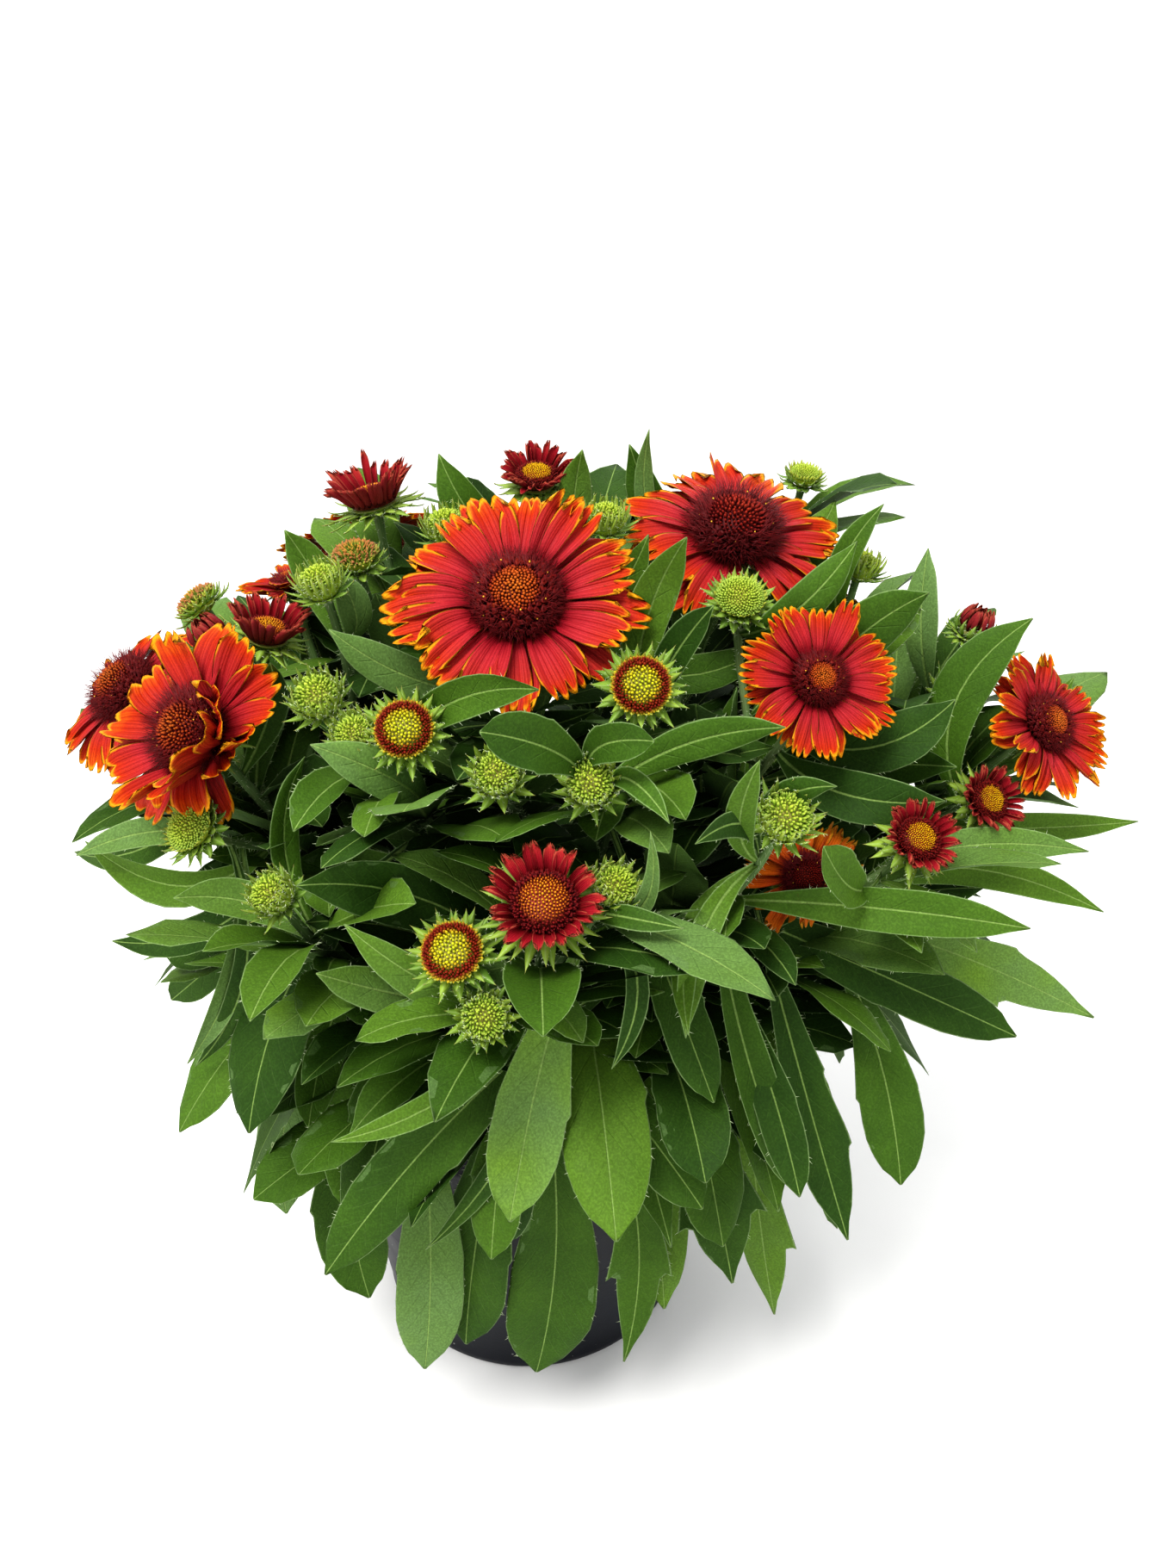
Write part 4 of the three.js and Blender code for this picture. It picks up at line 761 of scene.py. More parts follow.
def makeHairTree():
    tree, given = newTree("softHairs", {
        "Amount": 1.0, "Thickness": 0.00009, "Spread": 0.55, "Seed": 5, "Finish": "Material",
    })
    scatter = place(tree, "GeometryNodeDistributePointsOnFaces", {
        "Mesh": given["Geometry"], "Seed": given["Seed"],
        "Density": attribute(tree, "furDensity") * given["Amount"],
    })
    needle = place(tree, "GeometryNodeMeshCone", {
        "Vertices": 3, "Radius Top": 0.0, "Radius Bottom": given["Thickness"], "Depth": 1.0,
    }, fill_type="NONE")
    length = attribute(tree, "furLength") * drawn(given, 0.5, 1.2)
    hairs = place(tree, "GeometryNodeInstanceOnPoints", {
        "Points": scatter["Points"], "Instance": needle["Mesh"], "Scale": combined(tree, 1.0, 1.0, length),
        "Rotation": strayed(given, attribute(tree, "furWay", "FLOAT_VECTOR"), given["Spread"]),
    })
    return joined(tree, given, hairs)


def makeSpiralTree():
    # florets set in a spiral over a dome that faces out from a flower's middle
    tree, given = newTree("floretSpiral", {
        "Shape": "Object", "Finish": "Material", "Count": 100, "From": 0.0, "To": 1.0, "Radius": 0.01,
        "Height": 0.005, "Wrap": 1.35, "Base": 0.0, "Size": 0.001, "Stretch": 1.0, "Stray": 0.1, "Seed": 1,
        "Middle": (0, 0, 0), "Facing": (0, 0, 1),
    })
    number = place(tree, "GeometryNodeInputIndex")
    inner = given["From"] * given["From"]
    share = (number + 0.5) / given["Count"]
    out = (inner + (given["To"] * given["To"] - inner) * share).calc("SQRT")
    turn = number.calc("MULTIPLY_ADD", goldenTurn, given["Seed"] * 1.7)
    x, y = turn.calc("COSINE"), turn.calc("SINE")
    dip = out * given["Wrap"]
    flat, crest = dip.calc("SINE"), dip.calc("COSINE")
    rim = given["Radius"] / given["Wrap"].calc("SINE")
    wide, slant = flat * rim, flat / rim
    spot = combined(tree, x * wide, y * wide, crest * given["Height"] + given["Base"])
    steep = combined(tree, x * slant, y * slant, crest / given["Height"])
    normal = place(tree, "ShaderNodeVectorMath", {0: steep}, operation="NORMALIZE")
    uneven = drawn(given, 0.8, 1.15)
    size = given["Size"] * uneven
    florets = place(tree, "GeometryNodeInstanceOnPoints", {
        "Points": place(tree, "GeometryNodePoints", {"Count": given["Count"], "Position": spot}),
        "Instance": shapeOf(given), "Scale": combined(tree, size, size, size * given["Stretch"]),
        "Rotation": strayed(given, normal, given["Stray"]),
    })
    moved = place(tree, "GeometryNodeTransform", {
        "Geometry": toned(florets, uneven, out), "Translation": given["Middle"],
        "Rotation": turnTo(given["Facing"]),
    })
    return joined(tree, given, moved)


def makeScatterTree():
    tree, given = newTree("scatteredBits", {
        "Shape": "Object", "Finish": "Material", "Density": 1e5, "Smallest": 0.5, "Largest": 1.0, "Seed": 1,
        "Steepness": 0.7,
    })
    rise = place(tree, "ShaderNodeSeparateXYZ", {0: place(tree, "GeometryNodeInputNormal")})[2]
    isLevel = place(tree, "FunctionNodeCompare", {0: rise, 1: given["Steepness"]},
                    data_type="FLOAT", operation="GREATER_THAN")
    scatter = place(tree, "GeometryNodeDistributePointsOnFaces", {
        "Mesh": given["Geometry"], "Seed": given["Seed"], "Density": given["Density"], "Selection": isLevel,
    })
    turn = drawn(given, (-0.6, -0.6, 0), (0.6, 0.6, 6.28))
    bits = place(tree, "GeometryNodeInstanceOnPoints", {
        "Points": scatter["Points"], "Instance": shapeOf(given),
        "Rotation": place(tree, "FunctionNodeEulerToRotation", {0: turn}),
        "Scale": drawn(given, given["Smallest"], given["Largest"]),
    })
    return joined(tree, given, toned(bits, drawn(given, 0.0, 1.0)))


def grow(piece, tree, values):
    modifier = piece.modifiers.new(tree.name, "NODES")
    modifier.node_group = tree
    for item in tree.interface.items_tree:
        if item.in_out == "INPUT" and item.name in values:
            modifier[item.identifier] = values[item.name]


def settled(piece):
    graph = bpy.context.evaluated_depsgraph_get()
    mesh = bpy.data.meshes.new_from_object(
        piece.evaluated_get(graph), preserve_all_data_layers=True, depsgraph=graph)
    piece.modifiers.clear()
    piece.data = mesh
    return piece


hairTree, spiralTree, scatterTree = makeHairTree(), makeSpiralTree(), makeScatterTree()


def newFinish(name, roughness, specular):
    finish = bpy.data.materials.new(name)
    finish.use_nodes = True
    fill(finish.node_tree.nodes["Principled BSDF"], {"Roughness": roughness, "Specular IOR Level": specular})
    return finish, finish.node_tree


def finished(finish, colour, height, depth, strength):
    # a finish given its colour and a relief of this depth in millimetres
    tree = finish.node_tree
    bump = place(tree, "ShaderNodeBump", {"Height": height, "Distance": depth * metre, "Strength": strength})
    fill(tree.nodes["Principled BSDF"], {"Base Color": colour, "Normal": bump})
    return finish


def noted(tree, name):
    parts = place(tree, "ShaderNodeSeparateXYZ", {
        0: place(tree, "ShaderNodeAttribute", attribute_name=name)["Vector"],
    })
    return parts[0], parts[1], parts[2]


def blend(tree, share, a, b, mode="MIX"):
    a, b = [(*colour, 1) if isinstance(colour, tuple) else colour for colour in (a, b)]
    return place(tree, "ShaderNodeMix", {0: share, 6: a, 7: b}, data_type="RGBA", blend_type=mode)[2]


def tinted(colour, *layers):
    # a colour with others laid over it, each by its share
    for share, tint in layers:
        colour = blend(colour.tree, share, colour, tint)
    return colour


def between(x, low, high, bottom=0.0, top=1.0):
    return place(x.tree, "ShaderNodeMapRange", {0: x, 1: low, 2: high, 3: bottom, 4: top},
                 interpolation_type="SMOOTHSTEP")


def grained(colour, grain, low, high, darkest, lightest):
    light = between(grain, low, high, darkest, lightest)
    return blend(colour.tree, 1.0, colour, combined(colour.tree, light, light, light), "MULTIPLY")


def where(tree):
    return place(tree, "ShaderNodeTexCoord")["Object"]


def speckle(tree, scale, detail=3.0, stretch=None):
    spot = where(tree)
    if stretch:
        spot = place(tree, "ShaderNodeMapping", {"Vector": spot, "Scale": stretch})
    return place(tree, "ShaderNodeTexNoise", {"Vector": spot, "Scale": scale, "Detail": detail})


def chosenCells(tree, scale, share):
    # how far a point lies from the middle of its cell, and whether the cell is one of the chosen
    cells = place(tree, "ShaderNodeTexVoronoi", {"Vector": where(tree), "Scale": scale})
    pick = place(tree, "ShaderNodeSeparateXYZ", {0: cells["Color"]})
    return cells["Distance"], pick.calc("LESS_THAN", share)


def ramp(x, stops):
    # each stop is (at, red, green, blue)
    shown = place(x.tree, "ShaderNodeValToRGB", {0: x})
    elements = shown.node.color_ramp.elements
    while len(elements) < len(stops):
        elements.new(0.5)
    for element, (at, *colour) in zip(elements, stops):
        element.position = at
        element.color = (*colour, 1)
    return shown


def lines(x, width):
    # thin lines at each whole number of x
    return between((x.calc("FRACT") - 0.5).calc("ABSOLUTE"), 0.5 - width, 0.5)


def makeLeafFinish():
    finish, tree = newFinish("leafSkin", 0.6, 0.1)
    along, lateral, edge = noted(tree, "mark")
    luck, under, length = noted(tree, "tone")
    stipple = speckle(tree, 1500, 2)
    aside = lateral.calc("ABSOLUTE")
    rib = 1.0 - between(aside / (along * -0.32 + 0.5), 0.5, 1.5)
    branch = (aside * -1.5 + along * length * 100.0) / 8.0
    veins = lines(branch, 0.07) * between(edge, 1.0, 4.0)
    margin = 1.0 - between(edge, 0.12, 0.5)
    away, chosen = chosenCells(tree, 60.0, 0.04)
    rings = lines(away * 13.0 + 0.4, 0.3) * away.calc("LESS_THAN", 0.07) * chosen
    colour = tinted(
        ramp(luck + (speckle(tree, 42, 2) - 0.5) * 0.28, [
            (0.0, 0.024, 0.06, 0.008), (0.22, 0.055, 0.12, 0.012), (0.42, 0.094, 0.18, 0.02),
            (0.6, 0.12, 0.208, 0.062), (0.78, 0.15, 0.272, 0.02), (1.0, 0.25, 0.41, 0.02),
        ]),
        (under * 0.5, (0.12, 0.2, 0.07)), (veins * 0.1, (0.15, 0.28, 0.06)), (rib * 0.7, (0.24, 0.36, 0.1)),
        (margin * 0.55, (0.28, 0.4, 0.17)), (rings * 0.6, (0.45, 0.5, 0.28)),
    )
    relief = stipple * 0.5 - veins * 0.5 - rib * 0.8
    return finished(finish, grained(colour, stipple, 0.35, 0.75, 0.84, 1.2), relief, 0.35, 0.8)


def makeStemFinish():
    finish, tree = newFinish("stemSkin", 0.6, 0.12)
    around = noted(tree, "mark")[1]
    streak = speckle(tree, 260, 2, (1, 1, 0.12))
    colour = tinted(
        blend(tree, streak, (0.075, 0.15, 0.04), (0.2, 0.3, 0.12)),
        (between(speckle(tree, 30, 2), 0.55, 0.75, 0.0, 0.3), (0.2, 0.1, 0.06)),
        (lines(around * 5.0, 0.2) * 0.35, (0.27, 0.37, 0.18)),
    )
    return finished(finish, colour, streak, 0.3, 0.6)


def makeBractFinish():
    finish, tree = newFinish("bractSkin", 0.6, 0.12)
    along, lateral, _ = noted(tree, "mark")
    luck, _, yellow = noted(tree, "tone")
    grain = speckle(tree, 700, 2)
    rib = 1.0 - between(lateral.calc("ABSOLUTE"), 0.1, 0.35)
    colour = tinted(
        blend(tree, luck + grain * 0.3, (0.1, 0.22, 0.03), (0.3, 0.44, 0.06)),
        (yellow, (0.55, 0.58, 0.06)), (rib * 0.4, (0.36, 0.48, 0.18)),
        (between(along, 0.8, 1.0, 0.0, 0.55), (0.32, 0.2, 0.08)),
    )
    return finished(finish, colour, grain, 0.25, 0.6)


def makePlainFinish(name, low, high, roughness, scale, depth=0.1):
    finish, tree = newFinish(name, roughness, 0.2)
    luck, grain = noted(tree, "tone")[0], speckle(tree, scale, 3)
    return finished(finish, blend(tree, luck * 0.5 + grain * 1.2 - 0.45, low, high), grain, depth, 0.7)


def makePetalFinish(name, stops, rimColour, underColour, rimDepth, veinShare):
    finish, tree = newFinish(name, 0.5, 0.1)
    along, _, edge = noted(tree, "mark")
    luck, under, across = noted(tree, "tone")
    cloud, fine = speckle(tree, 160, 3), speckle(tree, 2200, 2)
    colour = ramp(along + luck * 0.32 + cloud * 0.3 - 0.25, stops)
    veins = lines(across * 5.0, 0.3).calc("MAXIMUM", lines(across * 13.0 + cloud, 0.35) * 0.5)
    dark = blend(tree, 1.0, colour, (0.62, 0.3, 0.4), "MULTIPLY")
    reach = between(along, 0.35, 1.0, 0.16, rimDepth) * between(cloud + luck * 0.3, 0.3, 0.9, 0.6, 1.5)
    rim = 1.0 - between(edge / reach, 0.3, 1.15)
    colour = tinted(colour, (veins * veinShare, dark), (rim, rimColour), (under * 0.45, underColour))
    return finished(finish, grained(colour, fine, 0.3, 0.8, 0.88, 1.14), fine * 0.4 - veins, 0.18, 0.8)


def makeFloretFinish(name, low, tip):
    finish, tree = newFinish(name, 0.55, 0.15)
    luck, out, _ = noted(tree, "tone")
    grain = speckle(tree, 1200, 2)
    out = out + (luck - 1.0) * 0.15
    colour = blend(tree, between(noted(tree, "mark")[0], 0.35, 0.95), ramp(out, low), ramp(out, tip))
    return finished(finish, grained(colour, grain, 0.3, 0.8, 0.75, 1.25), grain, 0.1, 0.5)


def makePotFinish():
    finish, tree = newFinish("potPlastic", 0.45, 0.16)
    dust, scuffs = speckle(tree, 26, 5), speckle(tree, 120, 3, (1, 1, 0.1))
    away, chosen = chosenCells(tree, 330.0, 0.16)
    colour = tinted(
        blend(tree, between(dust, 0.42, 0.75) * 0.5, (0.006, 0.007, 0.011), (0.024, 0.027, 0.035)),
        (between(scuffs, 0.62, 0.75, 0.0, 0.3), (0.05, 0.053, 0.06)),
        (chosen * away.calc("LESS_THAN", 0.14) * 0.55, (0.36, 0.35, 0.33)),
    )
    fill(tree.nodes["Principled BSDF"], {"Roughness": between(dust, 0.3, 0.8, 0.36, 0.6)})
    return finished(finish, colour, speckle(tree, 900, 2) + scuffs * 0.5, 0.06, 0.5)


# colours from the middle of a head outwards, of the florets' feet and of their tips: (at, red, green, blue)
discColours = {
    "warm": (
        [(0.0, 0.1, 0.014, 0.004), (0.4, 0.1, 0.01, 0.004),
         (0.55, 0.05, 0.003, 0.004), (1.0, 0.04, 0.002, 0.004)],
        [(0.0, 0.6, 0.17, 0.014), (0.36, 0.5, 0.09, 0.01),
         (0.52, 0.2, 0.01, 0.006), (1.0, 0.13, 0.004, 0.008)],
    ),
    "dark": (
        [(0.0, 0.09, 0.008, 0.006), (0.5, 0.08, 0.005, 0.006), (1.0, 0.05, 0.002, 0.006)],
        [(0.0, 0.36, 0.03, 0.008), (0.4, 0.26, 0.014, 0.006),
         (0.6, 0.1, 0.004, 0.005), (1.0, 0.08, 0.003, 0.006)],
    ),
    "ember": (
        [(0.0, 0.1, 0.01, 0.005), (0.5, 0.09, 0.006, 0.006), (1.0, 0.05, 0.002, 0.006)],
        [(0.0, 0.5, 0.13, 0.01), (0.34, 0.42, 0.07, 0.008),
         (0.56, 0.17, 0.008, 0.006), (1.0, 0.11, 0.004, 0.008)],
    ),
    "sunny": (
        [(0.0, 0.4, 0.22, 0.004), (0.46, 0.35, 0.14, 0.004),
         (0.58, 0.1, 0.006, 0.004), (1.0, 0.07, 0.003, 0.004)],
        [(0.0, 0.9, 0.66, 0.01), (0.46, 0.85, 0.5, 0.01),
         (0.58, 0.2, 0.012, 0.006), (1.0, 0.18, 0.006, 0.008)],
    ),
    "amber": (
        [(0.0, 0.36, 0.14, 0.008), (0.46, 0.24, 0.045, 0.006),
         (0.64, 0.08, 0.004, 0.005), (1.0, 0.06, 0.002, 0.005)],
        [(0.0, 0.88, 0.5, 0.02), (0.46, 0.76, 0.26, 0.015),
         (0.64, 0.2, 0.01, 0.008), (1.0, 0.16, 0.005, 0.008)],
    ),
    "ringed": (
        [(0.0, 0.36, 0.46, 0.015), (0.4, 0.4, 0.34, 0.008),
         (0.54, 0.12, 0.016, 0.003), (0.8, 0.11, 0.008, 0.003),
         (1.0, 0.4, 0.3, 0.015)],
        [(0.0, 0.6, 0.68, 0.03), (0.4, 0.66, 0.56, 0.02),
         (0.54, 0.26, 0.03, 0.006), (0.8, 0.2, 0.012, 0.005),
         (1.0, 0.68, 0.52, 0.03)],
    ),
    "green": (
        [(0.0, 0.3, 0.42, 0.03), (1.0, 0.18, 0.31, 0.03)],
        [(0.0, 0.5, 0.57, 0.06), (0.7, 0.4, 0.51, 0.08), (1.0, 0.32, 0.45, 0.1)],
    ),
    "russet": (
        [(0.0, 0.2, 0.27, 0.03), (1.0, 0.16, 0.25, 0.04)],
        [(0.0, 0.52, 0.3, 0.03), (0.45, 0.5, 0.16, 0.05), (0.8, 0.42, 0.13, 0.07), (1.0, 0.4, 0.34, 0.07)],
    ),
}
discSkins = {kind: makeFloretFinish(kind + "Disc", *stops) for kind, stops in discColours.items()}
petalSkin = makePetalFinish("petalSkin", [
    (0.0, 0.16, 0.002, 0.007), (0.14, 0.31, 0.01, 0.022), (0.4, 0.45, 0.028, 0.036),
    (0.66, 0.46, 0.03, 0.02), (0.86, 0.5, 0.036, 0.005), (1.0, 0.58, 0.08, 0.004),
], (0.76, 0.32, 0.008), (0.4, 0.05, 0.018), 2.0, 0.75)
witheredSkin = makePetalFinish("witheredPetal", [
    (0.0, 0.3, 0.03, 0.008), (0.3, 0.46, 0.07, 0.008), (0.7, 0.56, 0.14, 0.008), (1.0, 0.6, 0.22, 0.015),
], (0.66, 0.3, 0.02), (0.42, 0.11, 0.02), 2.2, 0.5)
youngSkin = makePetalFinish("youngPetal", [
    (0.0, 0.08, 0.002, 0.006), (0.3, 0.22, 0.007, 0.012), (0.7, 0.4, 0.016, 0.03), (1.0, 0.56, 0.05, 0.045),
], (0.6, 0.12, 0.07), (0.34, 0.05, 0.05), 1.1, 0.6)
leafSkin, stemSkin, bractSkin = makeLeafFinish(), makeStemFinish(), makeBractFinish()
potSkin = makePotFinish()
hairSkin = makePlainFinish("softHair", (0.5, 0.6, 0.36), (0.72, 0.8, 0.56), 0.6, 300)
bristleSkin = makePlainFinish("maroonBristle", (0.03, 0.0015, 0.003), (0.17, 0.006, 0.008), 0.5, 500)
pollenSkin = makePlainFinish("pollen", (0.75, 0.4, 0.02), (0.9, 0.6, 0.06), 0.7, 900)
soilSkin = makePlainFinish("pottingMix", (0.012, 0.008, 0.006), (0.06, 0.038, 0.024), 0.9, 240, 0.8)
barkSkin = makePlainFinish("barkChip", (0.04, 0.02, 0.01), (0.16, 0.085, 0.045), 0.85, 300, 0.3)
perliteSkin = makePlainFinish("perlite", (0.5, 0.49, 0.46), (0.75, 0.74, 0.7), 0.85, 600, 0.2)
print("finishes made")


outlines = {
    "spoon": [(0, 0.1), (0.12, 0.14), (0.24, 0.26), (0.34, 0.42), (0.46, 0.66), (0.58, 0.87), (0.7, 0.99),
              (0.78, 1), (0.86, 0.92), (0.92, 0.76), (0.96, 0.58), (0.985, 0.36), (1, 0.04)],
    "lance": [(0, 0.14), (0.1, 0.32), (0.22, 0.58), (0.34, 0.8), (0.48, 0.96), (0.6, 1), (0.72, 0.93),
              (0.82, 0.76), (0.9, 0.54), (0.96, 0.28), (1, 0.03)],
    "toothed": [(0, 0.08), (0.12, 0.12), (0.24, 0.26), (0.34, 0.42), (0.5, 0.58), (0.55, 0.6), (0.72, 0.74),
                (0.77, 0.7), (0.86, 0.56), (0.93, 0.36), (0.97, 0.18), (1, 0.03)],
}
leafTeeth = {"toothed": [(0.5, 0.3), (0.725, 0.28)], "spoon": [(0.66, 0.1)], "lance": []}
leafRows = {
    "spoon": [0, 0.08, 0.16, 0.24, 0.32, 0.4, 0.48, 0.56, 0.63, 0.66, 0.7, 0.77, 0.84, 0.9, 0.94, 0.968,
              0.988, 1],
    "lance": [0, 0.06, 0.13, 0.21, 0.3, 0.39, 0.48, 0.57, 0.66, 0.74, 0.81, 0.87, 0.92, 0.96, 1],
    "toothed": [0, 0.08, 0.16, 0.24, 0.32, 0.39, 0.44, 0.475, 0.5, 0.52, 0.56, 0.62, 0.67, 0.7, 0.725,
                0.745, 0.78, 0.83, 0.88, 0.93, 0.97, 1],
}
# how far across a blade its columns lie: in front, at the back, and of the leaves that fill the clump
leafColumns = {
    "front": np.array([-1, -0.955, -0.72, -0.42, -0.12, 0, 0.12, 0.42, 0.72, 0.955, 1]),
    "back": np.array([-1, -0.95, -0.6, -0.15, 0, 0.15, 0.6, 0.95, 1]),
    "filler": np.array([-1, -0.94, -0.5, 0, 0.5, 0.94, 1]),
}
blade = {
    "thick": 0.3, "petiole": 1.2, "turn": 0.35, "fold": (0.16, 0.46), "curl": (-0.12, 0.3),
    "ripples": (1.6, 2.8), "wave": (0.02, 0.055),
    "toothRun": 0.15, "toothDrop": 0.035, "toothTip": 0.006, "toothReach": [0.35, 0.8, 1.15],
    "luck": (0.1, 0.78), "hairs": 1.3, "longHair": 1.4, "shortHair": 1.0,
}


def growTeeth(leaf, t, v, luck):
    tooth = np.zeros((len(t), v.shape[1]))
    run, drop, tip = blade["toothRun"], blade["toothDrop"], blade["toothTip"]
    for at, size in leafTeeth[leaf["outline"]]:
        for side in (-1, 1):
            past = t - at - luck.uniform(-0.004, 0.004)
            rise = np.clip((past + run) / run, 0, 1) ** 2 * (past <= tip)
            fall = np.clip(1 - past / drop, 0, 1) * (past > tip)
            reach = size * luck.choice(blade["toothReach"]) * (rise + fall)
            tooth += np.where(v * side > 0, reach * np.abs(v) ** 3, 0)
    return tooth


def growWaves(leaf, t, v, luck):
    wave = np.zeros((len(t), v.shape[1]))
    for side in (-1, 1):
        ripple = np.sin(6.283 * (luck.uniform(*blade["ripples"]) * t + luck.uniform(0, 1)))
        wave += np.where(v * side > 0, ripple, 0)
    wave *= luck.uniform(*blade["wave"]) * leaf["width"] * v**2
    return wave * smooth(0.2, 0.5, t) * (1 - smooth(0.9, 1, t))


def addLeaf(bundle, leaf, seed, kind):
    luck = np.random.default_rng(seed)
    rows = np.array(leafRows[leaf["outline"]])
    if kind == "filler":
        rows = np.append(rows[:-1:2], 1.0)
    half = curveThrough(outlines[leaf["outline"]], rows) * leaf["width"] / 2
    half = np.where(rows < 0.5, np.maximum(half, blade["petiole"]), half)[:, None]
    t, v = rows[:, None], leafColumns[kind][None, :]
    tooth = growTeeth(leaf, t, v, luck)
    lateral = v * half + np.sign(v) * tooth * leaf["width"] / 2
    at = np.clip(t + 0.16 * tooth - 0.02 * np.abs(v) ** 2 * smooth(0.8, 0.95, t) * (t < 1), 0, 1)
    middle = quadratic(leaf["spine"], at)
    along = quadraticSlope(leaf["spine"], rows)
    across = unit(leaf["side"] - along * (along @ leaf["side"])[:, None])
    face = np.cross(across, along)
    turn = (luck.uniform(-blade["turn"], blade["turn"]) * (rows - 0.3))[:, None]
    across, face = across * np.cos(turn) + face * np.sin(turn), face * np.cos(turn) - across * np.sin(turn)
    along, across, face = along[:, None], across[:, None], face[:, None]
    fold = luck.uniform(*blade["fold"]) * (1 - 0.5 * smooth(0.5, 1, t))
    wave = growWaves(leaf, t, v, luck)
    curl = luck.uniform(*blade["curl"]) * half * np.abs(v) ** 3
    height = np.sin(fold) * (np.sqrt(lateral**2 + 0.64) - 0.8) + wave - curl
    top = middle + across * (lateral * np.cos(fold))[..., None] + face * height[..., None]
    ridge = (0.75 - 0.55 * t) * np.exp(-(lateral / 0.7) ** 2) * smooth(0, 0.1, 1 - t)
    thick = blade["thick"] * (1 - v**4) + ridge
    edge = np.minimum((1 - np.abs(v)) * half, (1 - t) * leaf["length"])
    centre = middle.reshape(-1, 3).mean(0)
    # leaves sitting higher (young) are drawn a little darker, and leaves deep in the clump (deep) darker
    # still: painted shade where the clump shades its own middle
    young = smooth(150, 330, centre[2])
    deep = 1 - smooth(0.55, 0.95, norm((centre - mound["centre"]) / mound["radii"]))
    pick = luck.uniform(*blade["luck"]) - 0.22 * young * luck.uniform(0.4, 1.2) - 0.4 * deep
    flat = np.zeros_like(lateral)
    tones = [stacked(np.clip(pick, 0, 1), side, leaf["length"] / 100 + flat) for side in (0, 1)]
    outward = across * np.sign(v)[..., None] + along * 0.5 + face * 0.25
    isMargin = (np.abs(v) > 0.99) & (t > 0.04)
    density = blade["hairs"] * isMargin * (1 - 0.75 * smooth(0.3, 0.6, t))
    hairs = stacked(density, blade["longHair"] if leaf["length"] > 40 else blade["shortHair"])
    mark = stacked(t, lateral, edge)
    bundle.add(*shell(top, top - face * thick[..., None]), 0,
               bothSides(mark), bothSides(*tones), bothSides(outward), bothSides(hairs))


def addTube(bundle, slot, path, radii, sides, tone, hairs):
    # a round stem with faint ribs; its ends are open, one in the soil or a stem and one in the cup
    along = unit(np.gradient(path, axis=0))
    normal = unit(np.cross(along[0], (0.3, 0.9, 0.1)))
    normals = []
    for way in along:
        normal = unit(normal - way * (normal @ way))
        normals.append(normal)
    normals = np.array(normals)
    others = np.cross(along, normals)
    turn = np.arange(sides) / sides * fullTurn
    ribs = 1 + 0.05 * (np.arange(sides) % 2)
    outward = normals[:, None] * np.cos(turn)[:, None] + others[:, None] * np.sin(turn)[:, None]
    points = path[:, None] + outward * (radii[:, None] * ribs)[..., None]
    run = runOf(path)[:, None]
    mark = stacked(run / run[-1], np.abs(turn / math.pi - 1), run)
    faces = quads(looped(len(path), sides))
    bundle.add(points.reshape(-1, 3), faces, slot, mark.reshape(-1, 3), tone, outward.reshape(-1, 3), hairs)


stalk = {
    "mainFoot": 2.4, "sideFoot": 1.4, "neck": 1.3,      # radii
    "base": 2.7, "buried": 9,                           # radius and depth of the end in the soil
    "points": 20, "sides": 8, "node": 0.18, "hairs": (0.24, 1.7),
}


def addStem(bundle, head):
    luck = np.random.default_rng(70 + head["index"])
    t = np.linspace(0, 1, stalk["points"])
    path = cubic(head["curve"], t)
    foot = stalk["mainFoot" if head["isMain"] else "sideFoot"]
    radii = foot + (stalk["neck"] - foot) * t
    radii += (0.28 * head["radius"] ** 0.5 - 0.6) * smooth(1 - 6 / runOf(path)[-1], 1, t)
    nodes = np.sin(t * luck.uniform(16, 22) + luck.uniform(0, 6)) ** 8
    radii += nodes * stalk["node"] * smooth(0, 0.2, 1 - t)
    if head["isMain"]:
        path = np.concatenate([[path[0] - (0, 0, stalk["buried"])], path])
        radii = np.concatenate([[stalk["base"]], radii])
    addTube(bundle, 1, path, radii, stalk["sides"], (luck.uniform(0, 1), 0, 0), stalk["hairs"])


def headAxes(head):
    x = unit(np.cross(upright, head["facing"]))
    return np.array([x, np.cross(head["facing"], x), head["facing"]])


plainRing = {
    "roll": 0.1, "notch": 0.0, "pleat": 0.0, "sway": 0.0, "twist": 0.0, "uneven": 0.0, "lift": 0.0,
    "layer": 0.0, "luck": (0.0, 1.0), "last": None, "thick": 0.3, "hairs": (0, 0), "skip": (),
    "rimScale": 1.0, "turn": 0.0, "grid": (7, 3),
}


